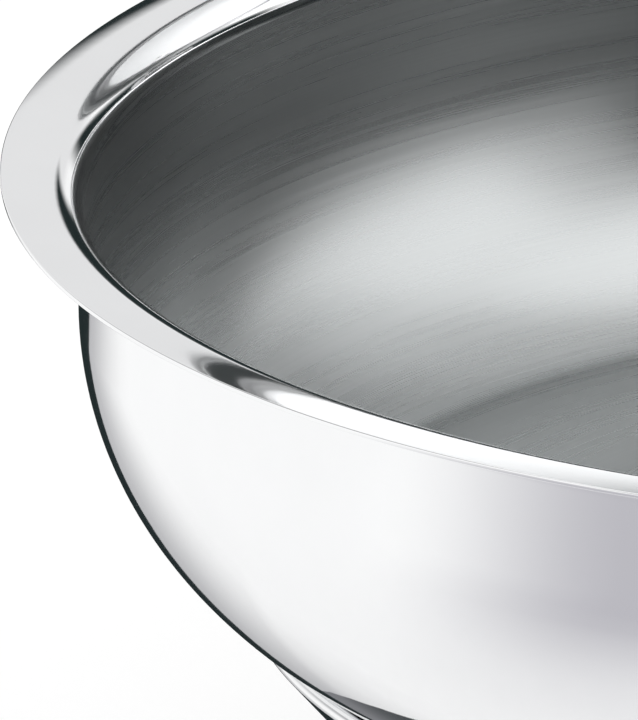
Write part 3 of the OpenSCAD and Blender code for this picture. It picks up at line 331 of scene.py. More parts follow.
class Surface:
    """A procedural material while its nodes are laid out."""

    def __init__(self, name: str) -> None:
        """Starts a material with a principled shader.

        Args:
            name: the material's name.
        """
        self.material = bpy.data.materials.new(name)
        self.material.use_nodes = True
        self.tree = self.material.node_tree
        self.shader = self.tree.nodes["Principled BSDF"]
        self.here = self.node("ShaderNodeTexCoord").outputs["Object"]

    def node(self, kind: str, *feeds: object, **settings: object) -> Node:
        """Adds a node to the material, as wired() does."""
        return wired(self.tree, kind, *feeds, **settings)

    def feed(self, socket: Socket, value: Socket) -> None:
        """Links an output to an input."""
        self.tree.links.new(value, socket)

    def math(self, operation: str, first: object, second: object = 0.0) -> Socket:
        """One arithmetic step on two sockets or numbers."""
        return self.node("ShaderNodeMath", first, second, operation=operation).outputs[0]

    def mapped(self, shift: Place = STILL, turn: Place = STILL, stretch: Place = (1.0, 1.0, 1.0)) -> Socket:
        """Object coordinates, stretched, then turned, then shifted.

        Args:
            shift: the shift in metres.
            turn: the turn in radians.
            stretch: the factor on each axis.

        Returns:
            The new coordinates.
        """
        return self.node("ShaderNodeMapping", self.here, shift, turn, stretch).outputs[0]

    def noise(self, where: Socket, scale: float, detail: float = 2.0, rough: float = 0.5) -> Socket:
        """Soft noise between 0 and 1.

        Args:
            where: the coordinates.
            scale: noise cells per metre.
            detail: number of finer layers.
            rough: weight of the finer layers.

        Returns:
            The noise value.
        """
        return self.node("ShaderNodeTexNoise", where, None, scale, detail, rough).outputs["Fac"]

    def spread(self, value: Socket, low: float, high: float, first: float, last: float) -> Socket:
        """Maps a range of values onto another.

        Args:
            value: the value.
            low: start of its range.
            high: end of its range.
            first: result at the start.
            last: result at the end.

        Returns:
            The mapped value.
        """
        return self.node("ShaderNodeMapRange", value, low, high, first, last).outputs[0]

    def blend(self, factor: Socket, first: Colour, second: Colour) -> None:
        """Lays a colour that goes from one at 0 to another at 1.

        Args:
            factor: how much of the second colour there is.
            first: a colour.
            second: a colour.
        """
        ends = ((*first, 1.0), (*second, 1.0))
        made = self.node("ShaderNodeMix", factor, *[None] * 5, *ends, data_type="RGBA")
        self.feed(self.shader.inputs["Base Color"], made.outputs[2])

    def tint(self, value: Socket, low: float, high: float, first: Colour, second: Colour) -> None:
        """Lays a colour that goes from one to another over a range of a value."""
        self.blend(self.spread(value, low, high, 0.0, 1.0), first, second)

    def gloss(self, value: Socket, low: float, high: float, first: float, last: float) -> None:
        """Lays a roughness that goes from one to another over a range of a value."""
        self.feed(self.shader.inputs["Roughness"], self.spread(value, low, high, first, last))

    def metal(self) -> None:
        """Makes the surface metal."""
        self.shader.inputs["Metallic"].default_value = 1.0

    def relief(self, height: Socket, distance: float, strength: float = 1.0) -> None:
        """Gives the surface a fine relief.

        Args:
            height: the height, 0 to 1.
            distance: height of a full step, in metres.
            strength: how much of it shows.
        """
        made = self.node("ShaderNodeBump")
        self.feed(made.inputs["Height"], height)
        made.inputs["Distance"].default_value = distance
        made.inputs["Strength"].default_value = strength
        self.feed(self.shader.inputs["Normal"], made.outputs[0])


def shade(colour: Colour, factor: float) -> Colour:
    """A colour made darker or lighter by a factor."""
    return tuple(min(1.0, channel * factor) for channel in colour)


@dataclass(frozen=True)
class Finish:
    """A surface finish: colour, gloss and the detail that it shows close up."""

    name: str
    colour: Colour
    roughness: float

    def lay(self, surface: Surface) -> None:
        """Lays the finish's own nodes; a kind of finish puts its detail here."""

    def make(self) -> bpy.types.Material:
        """The finish's material, made once.

        Returns:
            The material.
        """
        ready = bpy.data.materials.get(self.name)
        if ready:
            return ready
        surface = Surface(self.name)
        surface.shader.inputs["Base Color"].default_value = (*self.colour, 1.0)
        surface.shader.inputs["Roughness"].default_value = self.roughness
        self.lay(surface)
        surface.material.diffuse_color = (*self.colour, 1.0)
        return surface.material

    def dress(self, piece: Piece, slot: Optional[str] = None) -> None:
        """Gives a whole piece this finish.

        Args:
            piece: a new piece or a node of the frame.
            slot: not used.
        """
        material = self.make()
        if not piece.data.materials:
            piece.data.materials.append(material)
        for spot in piece.material_slots:
            spot.material = material


@dataclass(frozen=True)
class Polished(Finish):
    """Mirror polished metal, with faint haze and fine polishing marks."""

    haze: float = 0.03
    haze_cells: float = 26.0
    wiped: float = 0.975
    marks: float = 1.0e-6
    mark_cells: float = 420.0
    mark_way: Place = (1.0, 1.0, 7.0)

    def lay(self, surface: Surface) -> None:
        """Lays haze on the gloss and colour, and polishing marks in the relief.

        Args:
            surface: the material being made.
        """
        surface.metal()
        cloud = surface.noise(surface.here, self.haze_cells, 4.0, 0.6)
        surface.gloss(cloud, 0.3, 0.7, self.roughness, self.roughness + self.haze)
        surface.tint(cloud, 0.35, 0.75, self.colour, shade(self.colour, self.wiped))
        fine = surface.noise(surface.mapped(stretch=self.mark_way), self.mark_cells, 3.0, 0.6)
        surface.relief(fine, self.marks, 0.5)


@dataclass(frozen=True)
class Spun(Finish):
    """Satin metal with fine circular lines round an axis.

    The axis is upright through the origin, after the piece's pattern is turned and shifted. Each
    layer of lines has a part of the pitch, and a reach that says how much it changes round the axis.
    """

    darker: float = 0.86
    pitch: float = 900.0
    anisotropy: float = 0.0
    shift: Place = STILL
    turn: Place = STILL
    relief: float = 4.0e-6
    waver: float = 0.03
    fine_share: float = 0.45
    layers: tuple[Point, ...] = ((1.0, 1.1), (0.3, 0.8), (0.07, 0.5))

    def lay(self, surface: Surface) -> None:
        """Lays the lines on the colour, the gloss and the relief.

        Args:
            surface: the material being made.
        """
        surface.metal()
        where = surface.mapped(self.shift, self.turn)
        height = surface.node("ShaderNodeSeparateXYZ", where).outputs[2]
        flat = surface.node("ShaderNodeVectorMath", where, (1.0, 1.0, 0.0), operation="MULTIPLY").outputs[0]
        radius = surface.node("ShaderNodeVectorMath", flat, operation="LENGTH").outputs["Value"]
        heading = surface.node("ShaderNodeVectorMath", flat, operation="NORMALIZE").outputs[0]
        around = surface.node("ShaderNodeSeparateXYZ", heading).outputs
        layers: list[Socket] = []
        for fine, reach in self.layers:
            pitch = self.pitch * fine
            cell = surface.node(
                "ShaderNodeCombineXYZ",
                surface.math("MULTIPLY", around[0], reach),
                surface.math("MULTIPLY", around[1], reach),
                surface.math("MULTIPLY", radius, pitch),
            )
            lines = surface.node(
                "ShaderNodeTexNoise",
                cell.outputs[0],
                surface.math("MULTIPLY", height, pitch),
                1.0,
                2.0,
                0.65,
                noise_dimensions="4D",
            )
            layers.append(lines.outputs["Fac"])
        halves = [surface.math("MULTIPLY", layer, 0.5) for layer in layers[1:]]
        coarse = surface.math("MULTIPLY", surface.math("ADD", *halves), 1.0 - self.fine_share)
        mixed = surface.math("ADD", surface.math("MULTIPLY", layers[0], self.fine_share), coarse)
        surface.tint(mixed, 0.36, 0.64, shade(self.colour, self.darker), self.colour)
        surface.gloss(mixed, 0.35, 0.65, self.roughness - self.waver, self.roughness + self.waver)
        if self.anisotropy:
            shader = surface.shader
            shader.inputs["Anisotropic"].default_value = self.anisotropy
            shader.inputs["Anisotropic Rotation"].default_value = 0.25
            along = surface.node("ShaderNodeTangent", direction_type="RADIAL", axis="Z")
            surface.feed(shader.inputs["Tangent"], along.outputs[0])
        surface.relief(layers[0], self.relief, 0.6)


@dataclass(frozen=True)
class Grained(Finish):
    """Satin metal with straight fine lines along one axis."""

    along: Axis = Axis.X
    darker: float = 0.85
    pitch: float = 1100.0
    relief: float = 3.0e-6
    drawn: float = 0.985
    broad: float = 0.18

    def lay(self, surface: Surface) -> None:
        """Lays the lines on the colour, the gloss and the relief.

        Args:
            surface: the material being made.
        """
        surface.metal()
        where = surface.mapped(stretch=tuple(1.0 - self.drawn * part for part in self.along.value))
        fine = surface.noise(where, self.pitch, 2.0, 0.6)
        broad = surface.noise(where, self.pitch * self.broad, 2.0, 0.6)
        shares = (surface.math("MULTIPLY", fine, 0.6), surface.math("MULTIPLY", broad, 0.4))
        mixed = surface.math("ADD", *shares)
        surface.tint(mixed, 0.36, 0.64, shade(self.colour, self.darker), self.colour)
        surface.gloss(mixed, 0.35, 0.65, self.roughness - 0.05, self.roughness + 0.07)
        surface.relief(fine, self.relief, 0.6)


@dataclass(frozen=True)
class Plated(Finish):
    """Plain or plated metal of small fixings, with mottling and handling marks."""

    second: Colour = (0.5, 0.5, 0.5)
    mottle: float = 300.0
    handling: float = 9.0
    dulled: float = 0.12

    def lay(self, surface: Surface) -> None:
        """Lays mottling on the colour and gloss, and a light relief.

        Args:
            surface: the material being made.
        """
        surface.metal()
        cloud = surface.noise(surface.here, self.mottle, 4.0, 0.6)
        fine = surface.noise(surface.here, self.mottle * self.handling)
        surface.tint(cloud, 0.35, 0.7, self.colour, self.second)
        surface.gloss(cloud, 0.3, 0.7, self.roughness, self.roughness + self.dulled)
        surface.relief(fine, 6.0e-6, 0.5)


@dataclass(frozen=True)
class Moulded(Finish):
    """Moulded plastic or rubber with a fine skin."""

    grain: float = 2600.0
    depth: float = 1.2e-5
    worn: float = 1.5
    cloud: float = 140.0
    coat: float = 0.0

    def lay(self, surface: Surface) -> None:
        """Lays a faint change of colour and gloss, and the skin's grain.

        Args:
            surface: the material being made.
        """
        cloud = surface.noise(surface.here, self.cloud, 3.0, 0.6)
        grain = surface.noise(surface.here, self.grain)
        surface.tint(cloud, 0.3, 0.75, self.colour, shade(self.colour, self.worn))
        surface.gloss(cloud, 0.3, 0.7, self.roughness, self.roughness + 0.1)
        if self.coat:
            surface.shader.inputs["Coat Weight"].default_value = self.coat
            surface.shader.inputs["Coat Roughness"].default_value = 0.08
        surface.relief(grain, self.depth, 0.5)


@dataclass(frozen=True)
class Felted(Finish):
    """Pressed fibre, matt, with fibres lying every way."""

    sheen: float = 0.3

    def lay(self, surface: Surface) -> None:
        """Lays fibres on the colour and relief.

        Args:
            surface: the material being made.
        """
        ways: list[Socket] = []
        for turn, stretch, scale in ((0.6, (1.0, 0.2, 1.0), 1500.0), (-0.7, (0.2, 1.0, 1.0), 1300.0)):
            where = surface.mapped(turn=(0.0, 0.0, turn), stretch=stretch)
            ways.append(surface.noise(where, scale, 3.0))
        fibres = surface.math("MULTIPLY", surface.math("ADD", *ways), 0.5)
        surface.tint(fibres, 0.35, 0.65, shade(self.colour, 0.82), self.colour)
        surface.shader.inputs["Sheen Weight"].default_value = self.sheen
        surface.relief(fibres, 1.5e-4, 0.7)


@dataclass(frozen=True)
class Sleeved(Finish):
    """The sleeve of a lead, smooth or braided, with a stripe where it has one."""

    stripe: Optional[Colour] = None
    braid: bool = False

    def lay(self, surface: Surface) -> None:
        """Lays the stripe or braid, and a fine skin.

        Args:
            surface: the material being made.
        """
        if self.braid:
            waves = [self.wave(surface, (slant, 0.3, slant), 420.0, 0.4) for slant in (0.8, -0.8)]
            weave = surface.math("MAXIMUM", *waves)
            surface.blend(weave, shade(self.colour, 0.7), self.colour)
            surface.relief(weave, 1.2e-4, 0.6)
            return
        skin = surface.noise(surface.here, 1800.0)
        if self.stripe:
            band = self.wave(surface, (0.0, 0.6, 0.5), 42.0, 0.0)
            surface.tint(band, 0.45, 0.55, self.colour, self.stripe)
        else:
            surface.tint(skin, 0.3, 0.7, self.colour, shade(self.colour, 1.15))
        surface.relief(skin, 2.0e-5, 0.5)

    def wave(self, surface: Surface, turn: Place, scale: float, bent: float) -> Socket:
        """Slanting bands between 0 and 1.

        Args:
            surface: the material being made.
            turn: the turn of the bands in radians.
            scale: how closely the bands follow each other.
            bent: how far the bands wander.

        Returns:
            The bands' value.
        """
        where = surface.mapped(turn=turn)
        return surface.node("ShaderNodeTexWave", where, scale, bent).outputs["Fac"]


@dataclass(frozen=True)
class Clear(Finish):
    """Clear or tinted glass or plastic, with faint flow lines."""

    through: float = 0.7

    def lay(self, surface: Surface) -> None:
        """Lays the tint and the flow lines.

        Args:
            surface: the material being made.
        """
        shader = surface.shader
        shader.inputs["Transmission Weight"].default_value = self.through
        shader.inputs["IOR"].default_value = 1.49
        flow = surface.noise(surface.here, 500.0, 3.0, 0.6)
        surface.tint(flow, 0.3, 0.7, self.colour, shade(self.colour, 0.88))
        surface.relief(flow, 2.0e-5, 0.4)


STEEL: Colour = (0.9, 0.905, 0.91)
DARK: Colour = (0.018, 0.026, 0.027)
LID_TURN = math.radians(100.0)
LID_PIVOT = Vector((0.0, 0.232, 0.164))
LID_SHUT = Vector((0.0, 0.0, 0.155))


def lid_open() -> Matrix:
    """Carries the lid from its own frame, with the rim at height 0, to its open place."""
    back = Matrix.Translation(LID_SHUT - LID_PIVOT)
    return Matrix.Translation(LID_PIVOT) @ Matrix.Rotation(-LID_TURN, 4, "X") @ back


def lid_pattern_shift() -> Place:
    """Shift of a pattern that is turned with the open lid, so that its axis is the lid's."""
    turned_pivot = Matrix.Rotation(LID_TURN, 3, "X") @ LID_PIVOT
    return tuple(LID_PIVOT - turned_pivot)


class Finishes:
    """Every finish of the kettle."""

    MIRROR = Polished("polished_bowl_mirror", STEEL, 0.035)
    SATIN = Spun("polished_bowl_satin", (0.43, 0.443, 0.445), 0.28, anisotropy=0.7, pitch=1300.0, darker=0.9)
    CAP = Polished("polished_cap_mirror", STEEL, 0.03)
    LID_OUT = Polished("polished_lid_mirror", STEEL, 0.04)
    LID_IN = Spun(
        "polished_lid_satin", (0.7, 0.705, 0.71), 0.3, shift=lid_pattern_shift(), turn=(LID_TURN, 0.0, 0.0)
    )
    HANDLE = Polished("polished_handle_mirror", STEEL, 0.04)
    PLINTH = Spun("satin_plinth_lines", (0.74, 0.74, 0.745), 0.24, pitch=1400.0, darker=0.88)
    PLATE = Grained("satin_plate_mill", (0.6, 0.6, 0.61), 0.34)
    SPREADER = Spun("cast_spreader_turned", (0.75, 0.75, 0.76), 0.3, pitch=2400.0)
    SHEATH = Plated("element_sheath_dark", (0.26, 0.24, 0.235), 0.42, second=(0.36, 0.3, 0.25), mottle=120.0)
    CLAMP = Grained("pressed_clamp_satin", (0.6, 0.6, 0.6), 0.3)
    FIXINGS = Plated("steel_fixings_bright", (0.72, 0.72, 0.72), 0.16, second=(0.66, 0.66, 0.67))
    ZINC = Plated("zinc_fixings_dull", (0.6, 0.61, 0.6), 0.3, second=(0.52, 0.54, 0.52))
    BRASS = Plated("brass_bushings_satin", (0.78, 0.58, 0.25), 0.22, second=(0.7, 0.5, 0.2))
    FELT = Felted("insulation_felt_fibre", (0.86, 0.84, 0.78), 0.95)
    CUTOUT = Moulded("cutout_case_dark", (0.1, 0.07, 0.06), 0.4)
    COPPER = Plated("copper_sensor_bright", (0.85, 0.48, 0.33), 0.2, second=(0.72, 0.37, 0.25))
    RUBBER = Moulded("black_rubber_matt", (0.022, 0.022, 0.024), 0.62, grain=1800.0, depth=3.0e-5, worn=1.8)
    DIAL = Spun("dial_steel_satin", (0.76, 0.76, 0.77), 0.28, pitch=4200.0)
    SPINDLE = Grained("spindle_steel_ground", (0.7, 0.7, 0.7), 0.2, along=Axis.Z, pitch=2500.0)
    KNOB = Moulded("knob_black_satin", (0.016, 0.016, 0.018), 0.36)
    CHROME = Polished("bezel_chrome_bright", (0.86, 0.86, 0.87), 0.03)
    LENS = Clear("lens_amber_clear", (1.0, 0.42, 0.05), 0.06, through=0.55)
    LAMP = Clear("lamp_glass_clear", (0.95, 0.94, 0.9), 0.04, through=0.8)
    PLASTIC = Moulded("black_plastic_smooth", (0.02, 0.02, 0.022), 0.24, depth=4.0e-6)
    ROCKER = Moulded("rocker_red_glossy", (0.55, 0.03, 0.02), 0.2, depth=3.0e-6, worn=1.06, coat=0.5)
    MARKS = Moulded("marking_black", (0.02, 0.02, 0.02), 0.5, worn=1.3)
    MARKS_WHITE = Moulded("marking_white", (0.85, 0.85, 0.83), 0.45, worn=0.96)
    BROWN = Sleeved("brown_lead_sleeve", (0.16, 0.06, 0.025), 0.4)
    WHITE = Sleeved("white_lead_braid", (0.82, 0.81, 0.77), 0.7, braid=True)
    BLUE = Sleeved("blue_lead_sleeve", (0.02, 0.09, 0.34), 0.4)
    GREEN = Sleeved("green_lead_sleeve", (0.05, 0.25, 0.04), 0.4, stripe=(0.75, 0.6, 0.03))
    BRACKET = Grained("satin_bracket_lines", (0.74, 0.74, 0.745), 0.24)
    SPRING = Plated("clip_spring_dark", (0.2, 0.2, 0.215), 0.3, second=(0.14, 0.14, 0.15))
    NYLON = Moulded("white_nylon_smooth", (0.85, 0.85, 0.82), 0.4, worn=0.96)


def two_sided(piece: Piece, outer: Finish, inner: Finish, test: Callable[[Vector, Vector], bool]) -> None:
    """Gives a piece one finish, and another on the faces that pass a test.

    Args:
        piece: the piece.
        outer: its finish on the other faces.
        inner: its finish on the faces that pass.
        test: takes a face's middle and normal.
    """
    piece.data.materials.clear()
    for finish in (outer, inner):
        piece.data.materials.append(finish.make())
    pick_faces(piece, test)
    piece.active_material_index = 1
    bpy.ops.object.material_slot_assign()
    bpy.ops.object.mode_set(mode="OBJECT")


class Assembly:
    """A sub-assembly: what it makes, and the frame's nodes that it dresses."""

    nodes: ClassVar[dict[str, Finish]] = {}

    def build(self) -> list[Piece]:
        """Makes the assembly's own pieces and returns them."""
        return []

    def dress(self) -> None:
        """Gives each of the assembly's nodes its finish."""
        for name, finish in self.nodes.items():
            finish.dress(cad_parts[name])
            log.info("dressed %s with %s", name, finish.name)

    def finished(self, piece: Piece, body: Body, replaced: Sequence[str] = ()) -> Piece:
        """Lets a new piece ride on its body and stand for its nodes.

        Args:
            piece: the new piece.
            body: the body that it moves with.
            replaced: the nodes that it stands for.

        Returns:
            The same piece.
        """
        clear_selection()
        if replaced:
            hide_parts(*replaced)
        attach(piece, body.value)
        log.info("made %s: %d faces", piece.name, len(piece.data.polygons))
        return piece


@dataclass
class Bowl(Assembly):
    """The pressed bowl: flat rim, throat, wall, large corner, flat floor. Sizes in millimetres."""

    rim_r: float = 220.0
    rim_z: float = 155.0
    sheet: float = 1.0
    throat: Point = (211.6, 147.3)
    throat_r: float = 7.7
    corner: Point = (140.1, 128.0)
    corner_r: float = 64.8
    fillet: Point = (165.11, 81.5)
    fillet_r: float = 12.0
    fillet_a: float = -61.7
    floor_z: float = 69.5
    floor_r: tuple[float, ...] = (0.0, 40.0, 80.0, 120.0, 145.0)
    edge_r: float = 0.22
    steps: int = 288

    def face(self, inset: float) -> list[Point]:
        """One face of the sheet, from the axis to the rim.

        Args:
            inset: distance from the sheet's outer face.

        Returns:
            The face's profile, without the rim's end.
        """
        floor = [(r, self.floor_z + inset) for r in self.floor_r]
        fillet = arc(self.fillet, self.fillet_r - inset, -90.0, self.fillet_a, steps=10)
        corner = arc(self.corner, self.corner_r - inset, self.fillet_a, 0.0, steps=34)[1:]
        throat = arc(self.throat, self.throat_r - self.sheet + inset, 180.0, 90.0, steps=16)
        return floor + fillet + corner + throat

    def profile(self) -> list[Point]:
        """The whole sheet's profile, with a rounded rim edge.

        Returns:
            The points from the floor's underside round the rim to its inside.
        """
        edge = self.rim_r - self.edge_r
        low = arc((edge, self.rim_z - self.sheet + self.edge_r), self.edge_r, -90.0, 0.0, steps=4)
        high = arc((edge, self.rim_z - self.edge_r), self.edge_r, 0.0, 90.0, steps=4)
        return self.face(0.0) + low + high + list(reversed(self.face(self.sheet)))

    def build(self) -> list[Piece]:
        """Spins the sheet and gives its inside a satin face.

        Returns:
            The bowl.
        """
        bowl = turned("kettle_bowl_smooth", self.profile(), self.steps)
        smooth(bowl)
        top = self.throat[1] * MM

        def is_inside(middle: Vector, normal: Vector) -> bool:
            """Whether a face is on the bowl's inside, under the throat."""
            outwards = Vector((middle.x, middle.y, 0.0)).normalized()
            return middle.z < top and (normal.z > 0.5 or normal.dot(outwards) < -0.02)

        two_sided(bowl, Finishes.MIRROR, Finishes.SATIN, is_inside)
        return [self.finished(bowl, Body.BASE, ["kettle_bowl"])]


@dataclass
class Cap(Assembly):
    """The polished cap under the floor. Sizes in millimetres."""

    land_r: float = 160.11
    sheet: float = 0.8
    floor_z: float = 69.5
    bottom_z: float = 55.0
    bottom_r: tuple[float, ...] = (140.0, 100.0, 70.0, 45.0)
    edge: Point = (170.6, 68.1)
    edge_r: float = 1.4
    fillet: Point = (158.8, 60.0)
    fillet_r: float = 5.0
    steps: int = 288

    def side_angle(self) -> float:
        """Angle at which the edge's arc turns into the tapered side.

        Returns:
            The angle in degrees.
        """
        run = (self.fillet[0] - self.edge[0], self.fillet[1] - self.edge[1])
        lean = math.acos((self.edge_r - self.fillet_r) / math.hypot(*run))
        return math.degrees(math.atan2(run[1], run[0]) + lean)

    def face(self, inset: float) -> list[Point]:
        """One face of the sheet, from the land under the floor to the hole.

        Args:
            inset: distance from the sheet's outer face.

        Returns:
            The face's profile.
        """
        side = self.side_angle()
        edge = arc(self.edge, self.edge_r - inset, 90.0, side, steps=10)
        low = arc(self.fillet, self.fillet_r - inset, side, -90.0, steps=14)
        under = [(r, self.bottom_z + inset) for r in self.bottom_r]
        return [(self.land_r, self.floor_z - inset)] + edge + low + under

    def build(self) -> list[Piece]:
        """Spins the sheet.

        Returns:
            The cap.
        """
        profile = self.face(0.0) + list(reversed(self.face(self.sheet)))
        cap = turned("base_cap_smooth", profile, self.steps, closed=True)
        smooth(cap)
        Finishes.CAP.dress(cap, "polished_cap")
        return [self.finished(cap, Body.BASE, ["base_cap"])]


@dataclass
class Heater(Assembly):
    """What heats the bowl, inside the cap."""

    nodes: ClassVar[dict[str, Finish]] = {
        "spreader_plate": Finishes.SPREADER,
        "heating_element": Finishes.SHEATH,
        "element_clamp": Finishes.CLAMP,
        "bulb_clip": Finishes.CLAMP,
        "clamp_rivets": Finishes.FIXINGS,
        "spreader_screws": Finishes.FIXINGS,
        "cap_studs": Finishes.FIXINGS,
        "stud_nuts": Finishes.ZINC,
        "element_bushings": Finishes.BRASS,
        "insulation_disc": Finishes.FELT,
        "thermal_cutout": Finishes.CUTOUT,
        "sensor_bulb": Finishes.COPPER,
    }


@dataclass
class Plinth(Assembly):
    """The plinth, its bottom plate and feet."""

    nodes: ClassVar[dict[str, Finish]] = {
        "plinth_gasket": Finishes.RUBBER,
        "plinth_shell": Finishes.PLINTH,
        "bottom_plate": Finishes.PLATE,
        "plate_screws": Finishes.ZINC,
        "rubber_feet": Finishes.RUBBER,
        "foot_screws": Finishes.ZINC,
        "foot_nuts": Finishes.ZINC,
        "power_inlet": Finishes.PLASTIC,
        "inlet_pins": Finishes.BRASS,
        "inlet_screws": Finishes.ZINC,
        "earth_stud": Finishes.ZINC,
    }


@dataclass
class Wiring(Assembly):
    """The leads inside the plinth."""

    nodes: ClassVar[dict[str, Finish]] = {
        "live_lead": Finishes.BROWN,
        "switched_lead": Finishes.BROWN,
        "element_lead": Finishes.WHITE,
        "cutout_lead": Finishes.WHITE,
        "neutral_lead": Finishes.BLUE,
        "earth_lead": Finishes.GREEN,
    }


@dataclass
class Controls(Assembly):
    """Knob, dial, lamp and switch on the front panel. Sizes in millimetres.

    The ends of the rocker's face stand a crown over its pivot, and the middle lies lower by the
    dip. The half is half the length of that face.
    """

    panel_y: float = -140.0
    panel_z: float = 30.75
    pitch: float = 37.0
    dial_t: float = 1.0
    number_r: float = 18.75
    number_h: float = 2.5
    number_step: float = 30.0
    numbers: int = 10
    tick_r: float = 18.6
    tick_w: float = 0.35
    tick_l: float = 1.7
    knob_l: float = 16.0
    knob_z: float = 1.5
    print_t: float = 0.04
    groove_d: float = 0.8
    line_w: float = 1.0
    line_t: float = 0.5
    line_sink: float = 0.03
    line_from: float = 7.6
    line_to: float = 11.9
    pivot_z: float = -4.0
    crown: float = 6.2
    dip: float = 1.4
    half: float = 7.0
    rocker_a: float = 8.0
    mark_w: float = 0.8
    mark_l: float = 3.2
    mark_t: float = 0.06
    ring_in: float = 1.15
    ring_out: float = 1.75
    bar_round: float = 0.3
    nodes: ClassVar[dict[str, Finish]] = {
        "thermostat_body": Finishes.CUTOUT,
        "thermostat_nut": Finishes.ZINC,
        "dial_plate": Finishes.DIAL,
        "thermostat_spindle": Finishes.SPINDLE,
        "control_knob": Finishes.KNOB,
        "pilot_bezel": Finishes.CHROME,
        "pilot_lens": Finishes.LENS,
        "pilot_lamp": Finishes.LAMP,
        "switch_frame": Finishes.PLASTIC,
        "switch_rocker": Finishes.ROCKER,
    }

    def on_panel(self, x: float) -> Matrix:
        """The panel's frame at a place across it in millimetres: third axis out, second up."""
        spot = Matrix.Translation(Vector((x, self.panel_y, self.panel_z)) * MM)
        return spot @ Matrix.Rotation(math.pi / 2, 4, "X")

    def bar(self, name: str, width: float, length: float, height: float) -> Piece:
        """A flat bar with rounded corners, middle at the origin, long way up.

        Args:
            name: the new piece's name.
            width: its width in millimetres.
            length: its length in millimetres.
            height: its thickness in millimetres.

        Returns:
            The bar.
        """
        clear_selection()
        bpy.ops.mesh.primitive_cube_add(size=MM)
        piece = named(name)
        piece.scale = (width, length, height)
        settle(piece)
        corner = self.bar_round * width * MM
        pick_edges(piece, lambda a, b: abs((a - b).z) > 0.5 * height * MM)
        bpy.ops.mesh.bevel(offset=corner, segments=4)
        bpy.ops.object.mode_set(mode="OBJECT")
        return piece

    def make_dial(self) -> Piece:
        """Prints numbers round the dial, and ticks between them.

        Returns:
            The markings.
        """
        face = self.on_panel(0.0) @ Matrix.Translation((0.0, 0.0, (self.dial_t + self.print_t / 2) * MM))
        parts: list[Piece] = []
        for number in range(self.numbers):
            turn = Matrix.Rotation(math.radians(-number * self.number_step), 4, "Z")
            digit = lettering(f"dial_number_{number}", str(number), self.number_h * MM, self.print_t * MM)
            parts.append(place(digit, face @ turn @ Matrix.Translation((0.0, self.number_r * MM, 0.0))))
            if number < self.numbers - 1:
                half = Matrix.Rotation(math.radians(-(number + 0.5) * self.number_step), 4, "Z")
                tick = self.bar(f"dial_tick_{number}", self.tick_w, self.tick_l, self.print_t)
                parts.append(place(tick, face @ half @ Matrix.Translation((0.0, self.tick_r * MM, 0.0))))
        marks = joined("dial_numbers", parts)
        Finishes.MARKS.dress(marks, "dial_steel")
        return self.finished(marks, Body.BASE)

    def make_pointer(self) -> Piece:
        """Fills the groove on the knob's face with a white line.

        Returns:
            The line.
        """
        line = self.bar("knob_pointer", self.line_w, self.line_to - self.line_from, self.line_t)
        middle = (self.line_from + self.line_to) / 2
        up = (self.knob_z + self.knob_l - self.groove_d + self.line_t / 2 - self.line_sink) * MM
        place(line, self.on_panel(0.0) @ Matrix.Translation((0.0, middle * MM, up)))
        Finishes.MARKS_WHITE.dress(line, "knob_black")
        return self.finished(line, Body.KNOB)

    def on_rocker(self, side: int) -> Matrix:
        """The frame of one half of the rocker's face.

        Args:
            side: 1 for the upper half and -1 for the lower.

        Returns:
            A frame in the middle of that half, third axis out of it.
        """
        slope = math.atan2(self.dip, self.half) * side
        pivot = self.on_panel(self.pitch) @ Matrix.Translation((0.0, 0.0, self.pivot_z * MM))
        rocked = pivot @ Matrix.Rotation(math.radians(self.rocker_a), 4, "X")
        height = (self.crown - self.dip / 2) * MM
        middle = Matrix.Translation((0.0, side * self.half / 2 * MM, height))
        return rocked @ middle @ Matrix.Rotation(slope, 4, "X")

    def make_switch_marks(self) -> list[Piece]:
        """Prints a line and a ring on the rocker.

        Returns:
            The line and the ring.
        """
        line = place(self.bar("rocker_line", self.mark_w, self.mark_l, self.mark_t), self.on_rocker(1))
        low, high = -self.mark_t / 2, self.mark_t / 2
        section = [(self.ring_in, low), (self.ring_out, low), (self.ring_out, high), (self.ring_in, high)]
        ring = place(turned("rocker_ring", section, steps=40, closed=True), self.on_rocker(-1))
        for mark in (line, ring):
            Finishes.MARKS_WHITE.dress(mark, "rocker_red")
        return [self.finished(mark, Body.ROCKER) for mark in (line, ring)]

    def build(self) -> list[Piece]:
        """Makes and returns the markings of the dial, the knob and the switch."""
        return [self.make_dial(), self.make_pointer(), *self.make_switch_marks()]


@dataclass
class Hinge(Assembly):
    """The hinge at the bowl's back, between the wall and the lid."""

    nodes: ClassVar[dict[str, Finish]] = {
        "hinge_bracket": Finishes.BRACKET,
        "hinge_arm": Finishes.BRACKET,
        "bracket_rivets": Finishes.FIXINGS,
        "arm_rivets": Finishes.FIXINGS,
        "hinge_pin": Finishes.FIXINGS,
        "pin_clip": Finishes.SPRING,
        "hinge_washers": Finishes.NYLON,
        "open_stop": Finishes.RUBBER,
    }


